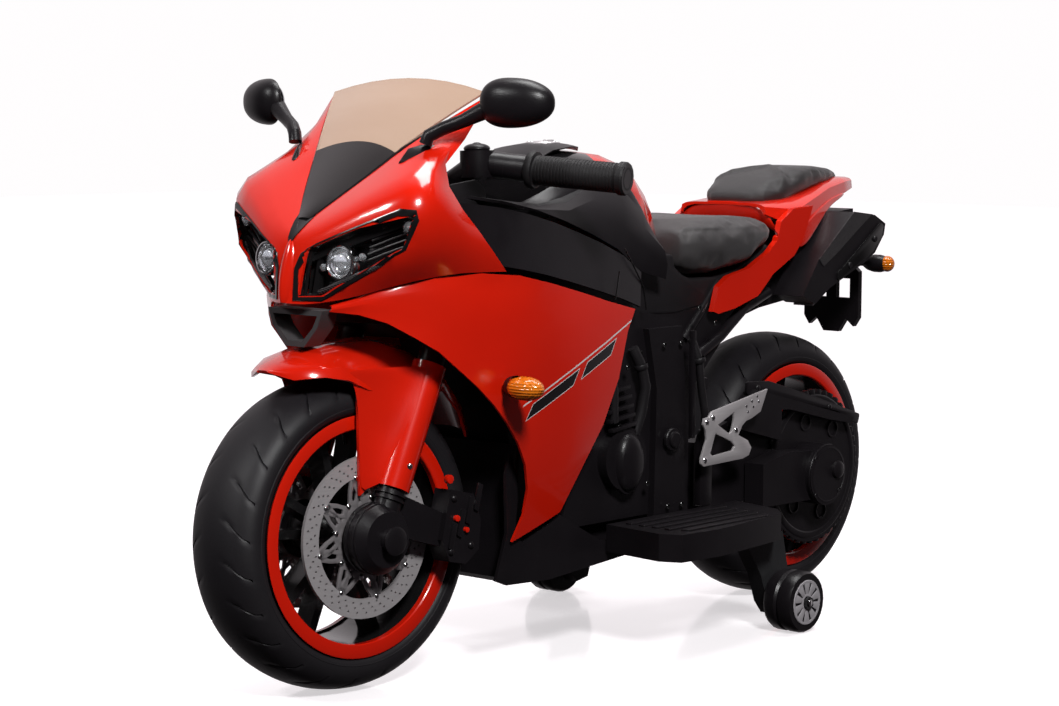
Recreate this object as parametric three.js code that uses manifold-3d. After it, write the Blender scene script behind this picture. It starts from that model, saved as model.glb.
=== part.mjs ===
// A child's ride-on electric sport motorcycle with stabiliser wheels.
// Millimetres. Front faces -Y, the machine's left is +X, +Z is up, the ground is z = 0.
import * as THREE from "three";
import Module from "manifold-3d";

const wasm = await Module();
wasm.setup();

// Driving dimensions
const AXLE_Y = 392;
const TYRE_R = 170;
const TYRE_HALF = 50;
const RIM_R = 131;
const RAKE = THREE.MathUtils.degToRad(24);
const REST_STEER = THREE.MathUtils.degToRad(-4);
const LEG_X = 72;
const LEG_R = 15;
const SKIN = 3;
const GAP = 0.4;
const BODY_HALF = 72;
const STAB_X = 193;
const STAB_Y = 196;
const STAB_R = 37;

const V = (x, y, z) => new THREE.Vector3(x, y, z);

// ---------- solids ----------
function solid(geometry) {
  const g = geometry.index ? geometry.toNonIndexed() : geometry;
  const p = g.getAttribute("position");
  const key = new Map();
  const verts = [];
  const tris = [];
  for (let i = 0; i < p.count; i += 3) {
    const t = [];
    for (let j = i; j < i + 3; j++) {
      const c = [p.getX(j), p.getY(j), p.getZ(j)];
      const k = c.map((n) => Math.round(n * 1000)).join(",");
      if (!key.has(k)) {
        key.set(k, verts.length / 3);
        verts.push(...c);
      }
      t.push(key.get(k));
    }
    if (t[0] !== t[1] && t[1] !== t[2] && t[0] !== t[2]) tris.push(...t);
  }
  const m = new wasm.Manifold(new wasm.Mesh({
    numProp: 3,
    vertProperties: new Float32Array(verts),
    triVerts: new Uint32Array(tris),
  }));
  if (m.volume() > 0) return m;
  for (let i = 0; i < tris.length; i += 3) {
    [tris[i + 1], tris[i + 2]] = [tris[i + 2], tris[i + 1]];
  }
  return new wasm.Manifold(new wasm.Mesh({
    numProp: 3,
    vertProperties: new Float32Array(verts),
    triVerts: new Uint32Array(tris),
  }));
}

function geometryOf(m) {
  const mesh = m.getMesh();
  const n = mesh.numProp;
  const v = new Float32Array(mesh.numVert * 3);
  for (let i = 0; i < mesh.numVert; i++) {
    v.set(mesh.vertProperties.subarray(i * n, i * n + 3), i * 3);
  }
  const g = new THREE.BufferGeometry();
  g.setAttribute("position", new THREE.BufferAttribute(v, 3));
  g.setIndex(new THREE.BufferAttribute(new Uint32Array(mesh.triVerts), 1));
  return g;
}

function place(geometry, xAxis, yAxis, zAxis, at) {
  const m = new THREE.Matrix4().makeBasis(xAxis, yAxis, zAxis).setPosition(at);
  return solid(geometry.applyMatrix4(m));
}

// Box from its two corners
function box(a, b) {
  const g = new THREE.BoxGeometry(b[0] - a[0], b[1] - a[1], b[2] - a[2]);
  g.translate((a[0] + b[0]) / 2, (a[1] + b[1]) / 2, (a[2] + b[2]) / 2);
  return solid(g);
}

// Round bar between two points, r2 for a taper
function bar(a, b, r, seg = 24, r2 = r) {
  const p = V(...a);
  const q = V(...b);
  const dir = q.clone().sub(p);
  const g = new THREE.CylinderGeometry(r2, r, dir.length(), seg);
  const turn = new THREE.Quaternion().setFromUnitVectors(V(0, 1, 0), dir.clone().normalize());
  g.applyQuaternion(turn);
  g.translate((p.x + q.x) / 2, (p.y + q.y) / 2, (p.z + q.z) / 2);
  return solid(g);
}

// Flat outline carried through a depth, in the frame u, v, u x v
function prism(profile, depth, u, v, at) {
  const shape = new THREE.Shape(profile.map((p) => new THREE.Vector2(...p)));
  const g = new THREE.ExtrudeGeometry(shape, { depth, bevelEnabled: false, steps: 1 });
  return place(g, u, v, u.clone().cross(v), at);
}

// Side profile [y, z] carried from x0 to x1
function side(profile, x0, x1, holes = []) {
  const make = (p, a, b) => prism(p, b - a, V(0, 1, 0), V(0, 0, 1), V(a, 0, 0));
  return holes.reduce((m, h) => m.subtract(make(h, x0 - 1, x1 + 1)), make(profile, x0, x1));
}

// Front profile [x, z] carried from y0 to y1
function front(profile, y0, y1, holes = []) {
  const make = (p, a, b) => prism(p, b - a, V(1, 0, 0), V(0, 0, 1), V(0, b, 0));
  return holes.reduce((m, h) => m.subtract(make(h, y0 - 1, y1 + 1)), make(profile, y0, y1));
}

// Plan profile [x, y] carried from z0 to z1
const plan = (profile, z0, z1) => prism(profile, z1 - z0, V(1, 0, 0), V(0, 1, 0), V(0, 0, z0));

// Closed profile [radius, x] turned about an axis along X through y, z
function turned(profile, y, z, seg = 48) {
  const pts = [...profile, profile[0]].map((p) => new THREE.Vector2(...p));
  const g = new THREE.LatheGeometry(pts, seg);
  return place(g, V(0, 0, 1), V(1, 0, 0), V(0, 1, 0), V(0, y, z));
}

// Skin through rings of points, closed at both ends
function loft(rings) {
  const pos = [];
  const tri = (a, b, c) => pos.push(...a, ...b, ...c);
  const n = rings[0].length;
  for (let i = 0; i + 1 < rings.length; i++) {
    for (let j = 0; j < n; j++) {
      const k = (j + 1) % n;
      tri(rings[i][j], rings[i + 1][j], rings[i + 1][k]);
      tri(rings[i][j], rings[i + 1][k], rings[i][k]);
    }
  }
  for (let j = 1; j + 1 < n; j++) {
    tri(rings[0][0], rings[0][j], rings[0][j + 1]);
    const e = rings[rings.length - 1];
    tri(e[0], e[j + 1], e[j]);
  }
  const g = new THREE.BufferGeometry();
  g.setAttribute("position", new THREE.Float32BufferAttribute(pos, 3));
  return solid(g);
}

// Sheet of thickness t behind a grid of points
function sheet(grid, t) {
  const rows = grid.length;
  const cols = grid[0].length;
  const P = grid.map((r) => r.map((p) => V(...p)));
  const at = (i, j) => P[Math.min(rows - 1, Math.max(0, i))][Math.min(cols - 1, Math.max(0, j))];
  const inner = P.map((r, i) => r.map((p, j) => {
    const u = at(i, j + 1).clone().sub(at(i, j - 1));
    const w = at(i + 1, j).clone().sub(at(i - 1, j));
    return p.clone().addScaledVector(u.cross(w).normalize(), t);
  }));
  const pos = [];
  const quad = (a, b, c, d) => pos.push(...a, ...b, ...c, ...a, ...c, ...d);
  for (let i = 0; i + 1 < rows; i++) {
    for (let j = 0; j + 1 < cols; j++) {
      quad(P[i][j], P[i][j + 1], P[i + 1][j + 1], P[i + 1][j]);
      quad(inner[i][j], inner[i + 1][j], inner[i + 1][j + 1], inner[i][j + 1]);
    }
  }
  for (let j = 0; j + 1 < cols; j++) {
    quad(P[0][j + 1], P[0][j], inner[0][j], inner[0][j + 1]);
    quad(P[rows - 1][j], P[rows - 1][j + 1], inner[rows - 1][j + 1], inner[rows - 1][j]);
  }
  for (let i = 0; i + 1 < rows; i++) {
    quad(P[i][0], P[i + 1][0], inner[i + 1][0], inner[i][0]);
    quad(P[i + 1][cols - 1], P[i][cols - 1], inner[i][cols - 1], inner[i + 1][cols - 1]);
  }
  const g = new THREE.BufferGeometry();
  g.setAttribute("position", new THREE.Float32BufferAttribute(pos, 3));
  return solid(g);
}

const curve = (pts) => new THREE.CatmullRomCurve3(pts.map((p) => V(...p)), false, "centripetal");

// Grid between two edge curves
function ruled(lowEdge, highEdge, rows, cols, shape = (p) => p) {
  const a = curve(lowEdge);
  const b = curve(highEdge);
  const grid = [];
  for (let i = 0; i <= rows; i++) {
    const row = [];
    const p = a.getPointAt(i / rows);
    const q = b.getPointAt(i / rows);
    for (let j = 0; j <= cols; j++) {
      const c = p.clone().lerp(q, j / cols);
      row.push(shape(c, i / rows, j / cols).toArray());
    }
    grid.push(row);
  }
  return grid;
}

// Smooth grid through rows of control points
function smooth(control, rows, cols) {
  const lines = control.map((r) => curve(r));
  const grid = [];
  for (let j = 0; j <= cols; j++) {
    const across = new THREE.CatmullRomCurve3(lines.map((l) => l.getPoint(j / cols)), false, "centripetal");
    for (let i = 0; i <= rows; i++) {
      grid[i] ??= [];
      grid[i].push(across.getPoint(i / rows).toArray());
    }
  }
  return grid;
}

const mirrored = (m) => m.mirror([1, 0, 0]);
const union = (...all) => all.reduce((a, b) => a.add(b));

// Half width of the bodywork at a station y and a height z
const PLAN = [[-460, 19], [-443, 37], [-411, 80], [-380, 108], [-350, 125], [-300, 138],
  [-250, 141], [-150, 134], [-50, 124], [20, 116]];
function halfWidth(y, z) {
  let w = PLAN[PLAN.length - 1][1];
  if (y <= PLAN[0][0]) w = PLAN[0][1];
  for (let i = 0; i + 1 < PLAN.length; i++) {
    const [y0, w0] = PLAN[i];
    const [y1, w1] = PLAN[i + 1];
    if (y > y0 && y <= y1) w = w0 + ((w1 - w0) * (y - y0)) / (y1 - y0);
  }
  return w * (1 - 0.25 * ((z - 400) / 250) ** 2);
}

// ---------- bodywork ----------
const BODY_SIDE = [[-178, 124], [-186, 250], [-202, 330], [-232, 404], [-318, 412], [-300, 488],
  [-262, 508], [-120, 500], [40, 452], [108, 415], [200, 408], [205, 345], [140, 285], [140, 124]];
const BODY_ROOM = [[-174, 128], [-182, 251], [-198, 332], [-229, 408], [-313, 416], [-297, 485],
  [-261, 504], [-121, 496], [38, 448], [106, 411], [196, 404], [201, 347], [136, 287], [136, 128]];
const ENGINE_SIDE = [[-118, 150], [-96, 230], [-72, 300], [-48, 372], [10, 395], [96, 380],
  [104, 300], [104, 150]];
const FRAME_PLATE = [[40, 134], [44, 300], [28, 372], [92, 372], [98, 300], [98, 134]];

function bodyLeft() {
  const shell = side(BODY_SIDE, GAP / 2, BODY_HALF).subtract(side(BODY_ROOM, -5, BODY_HALF - 4));
  const engine = side(ENGINE_SIDE, BODY_HALF - 1, 90);
  const room = side([[-100, 160], [-80, 235], [-55, 300], [-36, 366], [10, 384], [86, 370],
    [94, 300], [94, 160]], BODY_HALF - 6, 86);
  const plate = side(FRAME_PLATE, 89, 99);
  const oval = new THREE.CylinderGeometry(37, 37, 14, 28);
  const clutch = place(oval, V(0, 1, 0), V(1, 0, 0), V(0, 0, -1), V(96.5, -17, 223));
  const hole = headTube(22.4, -20, 120);
  return union(shell.subtract(room), engine.subtract(room), plate, clutch).subtract(hole);
}

const AXIS_AT = (s) => [0, -AXLE_Y + Math.sin(RAKE) * s, TYRE_R + Math.cos(RAKE) * s];
function headTube(r, from, to) {
  return bar(AXIS_AT(262 + from), AXIS_AT(262 + to), r, 28);
}
const steeringHead = () => headTube(22, -4, 100).subtract(headTube(13.4, -10, 110));

const SIDE_PANEL_LOW = [[104, -300, 470], [130, -265, 460], [131, -213, 451], [129, -162, 440],
  [123, -98, 425], [117, -48, 413], [112, -8, 401]];
const SIDE_PANEL_HIGH = [[104, -340, 530], [112, -300, 528], [116, -240, 520], [115, -170, 505],
  [112, -99, 484], [108, -40, 464], [102, 5, 440]];
function sidePanel() {
  return sheet(ruled(SIDE_PANEL_LOW, SIDE_PANEL_HIGH, 8, 2), -SKIN);
}

// Black tank flank, from the seam up to the tank
const FLANK_LOW = [[110, -300, 534], [114, -240, 526], [112, -170, 512], [108, -99, 491],
  [103, -40, 470], [97, 8, 443], [94, 62, 430]];
const FLANK_HIGH = [[68, -232, 514], [68, -190, 516], [68, -140, 518], [72, -100, 526],
  [78, -50, 542], [83, -10, 538], [88, 20, 512], [92, 48, 474]];
const tankFlank = () => sheet(ruled(FLANK_LOW, FLANK_HIGH, 7, 3, (p, u, v) => {
  p.x += 8 * Math.sin(Math.PI * v);
  p.z += 3 * Math.sin(Math.PI * v);
  return p;
}), -SKIN);

const COWL = [
  [[0, -443, 499], [28, -408, 532], [52, -373, 563], [65, -353, 581], [92, -313, 613], [116, -275, 641]],
  [[0, -447, 494], [36, -428, 517], [72, -400, 546], [96, -379, 564], [108, -343, 584], [117, -300, 606]],
  [[0, -450, 490], [46, -440, 505], [96, -419, 531], [130, -401, 545], [130, -375, 556], [120, -348, 566]],
  [[0, -455, 470], [30, -451, 479], [84, -430, 503], [140, -404, 518], [145, -372, 528], [137, -342, 528]],
  [[0, -461, 445], [24, -454, 447], [64, -439, 452], [128, -402, 478], [144, -352, 490], [142, -305, 489]],
  [[0, -465, 424], [24, -452, 424], [60, -428, 432], [104, -386, 449], [128, -335, 457], [138, -268, 456]],
];
const LIGHT = [[26, 481], [82, 505], [138, 519], [126, 485], [40, 433], [17, 432]];

function cowlGrid() {
  const half = smooth(COWL, 8, 11);
  return half.map((r) => [...r.slice(1).reverse().map((p) => [-p[0], p[1], p[2]]), ...r]);
}
function upperCowl() {
  const hole = front(LIGHT, -480, -392);
  return sheet(cowlGrid(), -SKIN).subtract(hole).subtract(mirrored(hole));
}
// The cowl with a little clearance all round, to cut its neighbours with
function cowlCutter() {
  const one = sheet(cowlGrid(), -SKIN - 1).add(sheet(cowlGrid(), GAP + 0.2));
  return one.add(mirrored(one));
}
const largest = (m) => m.decompose().sort((a, b) => b.volume() - a.volume())[0];

// Cup behind the light opening, its front edge following the cowl
const LIGHT_Y = [-446, -425, -399, -398, -434, -448];
function lightCup() {
  const c = [76, 476];
  const ring = (s, dy) => LIGHT.map(([x, z], i) =>
    [c[0] + (x - c[0]) * s, LIGHT_Y[i] + dy, c[1] + (z - c[1]) * s]);
  return loft([ring(0.955, 7), ring(0.93, 44)]).subtract(loft([ring(0.87, 0), ring(0.84, 38)]));
}
const lens = () => turnedY([[0, -15], [11, -13], [17, -6], [17.5, 0], [17.5, 16], [0, 16]], 56, -428, 468);

// Closed half profile [radius, y] about an axis along Y
function turnedY(profile, x, y, z, seg = 28) {
  const pts = profile.map((p) => new THREE.Vector2(...p));
  const g = new THREE.LatheGeometry(pts, seg);
  return place(g, V(1, 0, 0), V(0, 1, 0), V(0, 0, 1), V(x, y, z));
}

const SCREEN_EDGE = [[1.5, -442, 503], [28, -405, 537], [51.5, -370, 568], [64, -350, 587],
  [91, -311, 619], [115, -275, 646]];
const SCREEN_MID = [[0, -443.5, 503], [0, -404, 540], [0, -369, 574], [0, -349, 593],
  [0, -311, 629], [0, -272, 661]];
function windscreen() {
  const a = curve(SCREEN_EDGE);
  const m = curve(SCREEN_MID);
  const grid = [];
  for (let i = 0; i <= 7; i++) {
    const e = a.getPoint(0.05 + (i / 7) * 0.95);
    const c = m.getPoint(0.05 + (i / 7) * 0.95);
    const row = [];
    for (let j = -4; j <= 4; j++) {
      const k = j / 4;
      const q = 1 - k * k;
      row.push([e.x * k, e.y + (c.y - e.y) * q, e.z + (c.z - e.z) * q]);
    }
    grid.push(row);
  }
  return largest(sheet(grid, 2.4).subtract(cowlCutter()));
}

const ARCH = [[43, -438, 417], [62, -424, 414], [80, -410, 411], [95, -393, 400], [107, -380, 390],
  [119, -358, 376], [127, -334, 355], [133, -304, 330], [134, -272, 301], [131, -244, 271],
  [126, -225, 246], [120, -212, 218], [114, -208, 194], [109, -211, 172], [104, -220, 151]];
const FAIRING_REAR = [[43, -436, 420], [62, -422, 429], [104, -379, 445], [124, -338, 453],
  [137, -265, 452], [134, -180, 436], [127, -98, 416], [118, -10, 393], [121, -37, 384],
  [121, -50, 340], [120, -64, 305], [117, -80, 270], [114, -100, 240], [111, -119, 212],
  [106, -141, 176]];
function sideFairing() {
  const grid = ruled(ARCH, FAIRING_REAR, 13, 4, (p, u, v) => {
    const blend = Math.sin(Math.PI * v);
    const w = halfWidth(p.y, p.z);
    p.x += (w - p.x) * Math.min(1, 1.6 * blend);
    return p;
  });
  return sheet(grid, -SKIN);
}

function bellyPan() {
  const floor = side([[-213, 106], [-206, 100], [-150, 98], [0, 110], [112, 114], [112, 118],
    [0, 114], [-150, 102], [-200, 106], [-204, 160], [-198, 256], [-203, 256], [-209, 160]], -98, 98);
  const cheek = side([[-240, 108], [-222, 101], [-150, 98], [0, 110], [112, 114], [112, 122],
    [-60, 132], [-136, 172], [-150, 162], [-196, 146], [-208, 160], [-204, 196], [-206, 225],
    [-217, 250], [-224, 226], [-222, 160]], 97, 101);
  return union(floor, cheek, mirrored(cheek));
}

const NOSE = [[-42, 417], [42, 417], [34, 398], [14, 377], [-14, 377], [-34, 398]];
const NOSE_HOLE = [[-34, 411], [34, 411], [27, 398], [11, 383], [-11, 383], [-27, 398]];
const noseDuct = () => front(NOSE, -448, -424, [NOSE_HOLE]);

// Dash top: c is on the sloping face, u runs up it and w leaves it
const DASH = [-281, 559.5];
const onDash = (u, w) => [DASH[0] - 0.846 * u + 0.534 * w, DASH[1] + 0.534 * u + 0.846 * w];
const block = (u, w0, w1) => [onDash(-u, w0), onDash(u, w0), onDash(u, w1), onDash(-u, w1)];
function dashboard() {
  const outer = [[-336, 560], [-330, 534], [-270, 520], [-260, 528], [-262, 547.5], [-300, 571.5],
    [-330, 575]];
  const inner = [[-332, 557], [-326, 520], [-270, 510], [-266, 541], [-301, 563.5], [-328, 567]];
  const hole = bar([34, ...onDash(0, -30)], [34, ...onDash(0, 30)], 6.5, 20);
  return side(outer, -62, 62).subtract(side(inner, -58, 58)).subtract(hole)
    .subtract(side(block(10, -30, 30), -6, 6));
}
const startButton = () => bar([34, ...onDash(0, -12)], [34, ...onDash(0, 4)], 6, 20);
const directionSwitch = () => side([onDash(-8.5, -9), onDash(8.5, -9), onDash(8.5, 2), onDash(5, 4.5),
  onDash(0, 3), onDash(-5, 4.5), onDash(-8.5, 2)], -5.2, 5.2);

// ---------- tank, seat and tail ----------
const ARC = (hw, z0, z1, n = 9, flat = 0.55) => {
  const row = [];
  for (let i = 0; i < n; i++) {
    const a = Math.PI * (i / (n - 1));
    const c = Math.cos(a);
    const s = Math.sin(a);
    row.push([hw * Math.sign(c) * Math.abs(c) ** flat, z0 + (z1 - z0) * s ** flat]);
  }
  return row;
};
function hump(stations, n = 9, flat = 0.6) {
  return loft(stations.map(([y, hw, z0, z1]) => ARC(hw, z0, z1, n, flat).map(([x, z]) => [x, y, z])));
}
const TANK = [[-108, 58, 506, 572], [-85, 68, 506, 580], [-50, 74, 500, 583], [0, 76, 490, 580],
  [40, 76, 478, 568], [74, 66, 466, 540], [100, 52, 458, 500], [107, 46, 456, 480]];
function tankCover() {
  const inner = TANK.map(([y, hw, z0, z1]) => [y * 0.96, hw - 3, z0 - 12, z1 - 3]);
  return hump(TANK).subtract(hump(inner)).subtract(bar([0, -50, 560], [0, -50, 600], 21, 24));
}
const fuelCap = () => bar([0, -50, 574], [0, -50, 588], 20.5, 24);

const SEAT = [[112, 74, 433, 484], [124, 86, 427, 488], [175, 98, 430, 498], [235, 102, 440, 498],
  [278, 99, 458, 494], [298, 88, 472, 489], [307, 70, 477, 484]];
const TAIL = [[298, 68, 498, 512], [320, 81, 488, 514], [348, 85, 476, 517], [400, 74, 500, 525],
  [450, 60, 514, 535], [500, 47, 520, 541], [532, 37, 526, 541], [550, 22, 530, 539]];
const FIN = [[167, 384], [177, 414], [197, 426], [238, 434], [278, 452], [296, 466], [304, 490],
  [330, 505], [372, 508], [352, 466], [333, 446], [289, 425], [258, 399], [211, 386], [177, 381]];
const FIN_CUT = hump(SEAT.map(([y, hw, a, b]) => [y, hw + 1, a - 1, b + 1]));
function tailCowl() {
  const inner = TAIL.map(([y, hw, a, b]) => [y * 0.985 + 4, hw - 3, a - 14, b - 3]);
  const top = hump(TAIL, 9, 0.4).subtract(hump(inner, 9, 0.4));
  const fin = side(FIN, 80, 88);
  return union(top, fin, mirrored(fin)).subtract(FIN_CUT);
}
const PAD = [[306, 44, 500, 533], [318, 56, 500, 543], [352, 63, 500, 551], [400, 61, 500, 556],
  [440, 55, 510, 557], [490, 43, 520, 553], [532, 28, 524, 547]];
function pillionPad() {
  const below = TAIL.map(([y, hw, a, b]) => [y, hw + 30, a - 40, b + GAP]);
  const keep = hump(PAD, 9, 0.5);
  const wide = loft(TAIL.map(([y, , , b]) => [[-99, y, 440], [-99, y, b + GAP], [99, y, b + GAP], [99, y, 440]]));
  const room = PAD.map(([y, hw, , b]) => [419 + (y - 419) * 0.9, hw - 6, 480, b - 7]);
  return keep.subtract(hump(below, 9, 0.2)).subtract(wide).subtract(hump(room, 9, 0.5));
}
function seat() {
  const room = SEAT.map(([y, hw, a, b]) => [209 + (y - 209) * 0.9, hw - 8, a - 12, b - 9]);
  return hump(SEAT).subtract(hump(room));
}

// Subframe and inner rear guard under the seat
function tailFrame() {
  const s = [[118, 419], [205, 412], [212, 350], [240, 366], [300, 380], [400, 392], [470, 430],
    [505, 470], [505, 500], [440, 494], [395, 478], [340, 440], [300, 424], [230, 420], [180, 422],
    [140, 424]];
  const r = [[206, 414], [216, 358], [240, 371], [298, 384], [398, 396], [462, 432], [498, 470],
    [440, 484], [397, 470], [340, 434], [300, 418], [230, 414]];
  return side(s, -58, 58).subtract(side(r, -54, 54)).subtract(box([-50, 192, 366], [50, 222, 402]));
}
const CAN = [[318, 396], [346, 385], [378, 404], [452, 432], [478, 445], [498, 468], [501, 482],
  [476, 494], [428, 499], [352, 441]];
function exhaust() {
  const can = side(CAN, 66, 112);
  const bore = side([[470, 448], [540, 490], [540, 466], [500, 446]], 76, 102);
  return can.subtract(bore);
}
function licenceBracket() {
  const plate = front([[-44, 414], [-44, 352], [-36, 340], [-24, 350], [-12, 332], [12, 332],
    [24, 350], [36, 340], [44, 352], [44, 414], [30, 426], [-30, 426]], 541, 549,
    [[[-30, 378], [-8, 378], [-8, 404], [-30, 404]], [[8, 378], [30, 378], [30, 404], [8, 404]]]);
  const arm = side([[472, 429], [508, 464], [549, 424], [549, 402], [541, 400], [515, 412],
    [480, 395], [466, 404]], -9, 9);
  return union(plate, arm);
}

// ---------- running gear of the frame ----------
const PIVOT_Z = 168;
const ARM_SIDE = [[146, 146], [146, 224], [214, 244], [300, 214], [384, 196], [414, 184],
  [420, 168], [414, 152], [384, 144], [220, 140]];
const GUARD_SIDE = [[251, 282], [460, 230], [453, 223], [403, 232], [319, 252], [262, 256],
  [228, 236], [214, 236], [214, 252]];
function swingArm() {
  const arm = side(ARM_SIDE, 62, 76);
  const cross = side([[146, 150], [146, 182], [196, 182], [202, 166], [196, 150]], -63, 63);
  const guard = side(GUARD_SIDE, 75, 96);
  const guardJoin = side([[214, 236], [300, 214], [300, 256], [228, 262]], 66, 96);
  const ring = bar([70, AXLE_Y, TYRE_R - 2], [79, AXLE_Y, TYRE_R - 2], 96, 32);
  const axle = bar([-82, AXLE_Y, TYRE_R], [70, AXLE_Y, TYRE_R], 8, 16);
  return union(arm, mirrored(arm), cross, guard, guardJoin, ring, axle);
}
function gearbox() {
  const drum = bar([79.4, 374, 165], [117, 374, 165], 39, 28);
  const box2 = side([[246, 136], [246, 190], [300, 200], [374, 196], [374, 134]], 79.4, 108);
  return union(drum, box2);
}

function footBoard() {
  const top = [[103, -52], [190, -63], [214, -51], [220, 12], [203, 154], [180, 178], [103, 196]];
  const inner = [[107, -47], [189, -58], [210, -48], [216, 11], [199, 152], [178, 174], [107, 191]];
  return plan(top, 118, 150).subtract(plan(inner, 114, 145));
}

const HEEL = [[240, 286], [226, 259], [207, 252], [191, 249], [179, 233], [200, 224], [207, 214],
  [192, 205], [110, 203], [107, 210], [118, 234], [115, 246], [111, 253], [121, 260], [127, 266]];
const HEEL_A = [[141, 249], [174, 263], [170, 239]];
const HEEL_B = [[136, 239], [168, 227], [173, 219], [124, 214]];
const heelPlate = () => side(HEEL, 114, 118, [HEEL_A, HEEL_B]);

// Pedal on the right foot board, hinged at its rear edge
const pedal = () => side([[-30, 171], [56, 157], [61, 155], [60, 151], [52, 151], [-30, 165]], -186, -124);

function stabiliserArm() {
  const s = [[128, 117.6], [206, 117.6], [222, 50], [212, 22], [190, 18], [176, 34], [162, 70]];
  const plate = side(s, 148, 168);
  const axle = bar([160, STAB_Y, STAB_R], [217, STAB_Y, STAB_R], 5, 16);
  const nut = bar([213.6, STAB_Y, STAB_R], [217, STAB_Y, STAB_R], 8, 6);
  return union(plate, axle, nut);
}
function stabiliserWheel() {
  const w = [[5.6, 172], [35, 173], [37.3, 177], [37.3, 189], [35, 192], [37.3, 195], [37.3, 208],
    [35, 212], [5.6, 212]];
  return turned(w, STAB_Y, STAB_R + 0.3, 24);
}

function frontSignal() {
  const pod = new THREE.SphereGeometry(1, 14, 8).scale(25, 14, 13.5).translate(172, -272, 331);
  return union(solid(pod), bar([141.5, -258, 330], [160, -266, 331], 5, 12));
}
function rearSignal() {
  const pod = new THREE.SphereGeometry(1, 14, 8).scale(23, 12, 12).translate(88, 520, 428);
  return union(solid(pod), bar([9.4, 520, 428], [72, 520, 428], 4.5, 12));
}

const MIRROR = [100, -352];
function mirrorBase() {
  const foot = loft([
    [[70, -372, 556], [90, -358, 552], [112, -340, 566], [104, -328, 584], [82, -346, 582]],
    [[84, -374, 572], [98, -366, 570], [111, -352, 582], [106, -340, 590], [89, -352, 590]],
  ]);
  return largest(foot.subtract(cowlCutter()));
}

// ---------- steering ----------
const legAt = (s) => [LEG_X, AXIS_AT(s)[1], AXIS_AT(s)[2]];
function fork() {
  const leg = bar(legAt(0), legAt(233), LEG_R, 18);
  const drum = turned([[0, 57], [35, 57], [38, 60], [38, 80], [30, 90], [13, 92], [13, 102], [0, 102]],
    -AXLE_Y, TYRE_R, 24);
  const caliper = side([[-300, 135], [-310, 160], [-296, 214], [-262, 206], [-252, 176], [-256, 144],
    [-276, 130]], 60, 86);
  const stay = side([[-372, 172], [-300, 150], [-296, 186], [-360, 214]], 62, 78);
  const slot = side([[-312, 130], [-318, 170], [-300, 220], [-300, 130]], 50, 56);
  return union(leg, drum, caliper, stay).subtract(slot);
}
function forkCrown() {
  const a = AXIS_AT(234);
  const dir = V(0, Math.sin(RAKE), Math.cos(RAKE));
  const g = new THREE.BoxGeometry(184, 46, 14);
  const m = new THREE.Matrix4().makeRotationX(-RAKE);
  g.applyMatrix4(m);
  g.translate(a[0], a[1] + dir.y * 7, a[2] + dir.z * 7);
  const stem = bar(AXIS_AT(240), AXIS_AT(384), 12.7, 24);
  const sleeve = bar(AXIS_AT(240), AXIS_AT(257), 20, 24);
  return union(solid(g), stem, sleeve);
}
function handlebar() {
  const c = AXIS_AT(397);
  const clamp = bar(AXIS_AT(384.4), AXIS_AT(410), 24, 28);
  const half = union(
    bar([0, c[1], c[2]], [58, -217, 568], 14, 14),
    bar([52, -216, 568], [97, -176, 560], 12.5, 14),
  );
  const knuckle = bar([52, -216, 552], [52, -216, 582], 19, 16);
  return union(clamp, half, mirrored(half), knuckle, mirrored(knuckle), grip(), mirrored(grip()));
}
function grip() {
  const a = V(97.6, -175.4, 559.6);
  const b = V(205, -135, 548);
  const d = b.clone().sub(a).normalize();
  const at = (s) => a.clone().addScaledVector(d, s).toArray();
  return union(bar(at(-2), at(6), 20, 14), bar(at(5), at(108), 15.5, 14), bar(at(106), at(115), 17, 14));
}

const FENDER = [[-27, 203, 202, 8], [-24, 204, 190, 34], [-17, 205, 183, 54], [-9, 206, 172, 61],
  [0, 206, 158, 61], [11, 212, 156, 61], [24, 217, 166, 61], [36, 214, 184, 61], [47, 205, 182, 58],
  [58, 196, 178, 50]];
function frontFender() {
  const grid = FENDER.map(([deg, crest, edge, w]) => {
    const a = THREE.MathUtils.degToRad(deg);
    const row = [];
    for (let j = -4; j <= 4; j++) {
      const k = (j / 4) * (Math.PI / 2);
      const r = edge + (crest - edge) * Math.cos(k);
      const x = w * Math.sin(k);
      row.push([x, -AXLE_Y + Math.sin(a) * r, TYRE_R + Math.cos(a) * r]);
    }
    return row;
  });
  const arch = sheet(grid, 3);
  const fin = side([[-404, 330], [-404, 216], [-378, 232], [-372, 260], [-340, 345]], 55.8, 59.2);
  const rod = (s) => legAt(s);
  const cover = bar(rod(56), rod(198), 19.2, 20).subtract(bar(rod(40), rod(210), 16.2, 20));
  const open = side([[-420, 200], [-250, 200], [-250, 420], [-420, 420]], 40, 57.5);
  const shroud = union(cover.subtract(open), fin);
  const clear = bar(rod(0), rod(240), 15.9, 20);
  return union(arch, shroud, mirrored(shroud)).subtract(clear).subtract(mirrored(clear));
}

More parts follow.
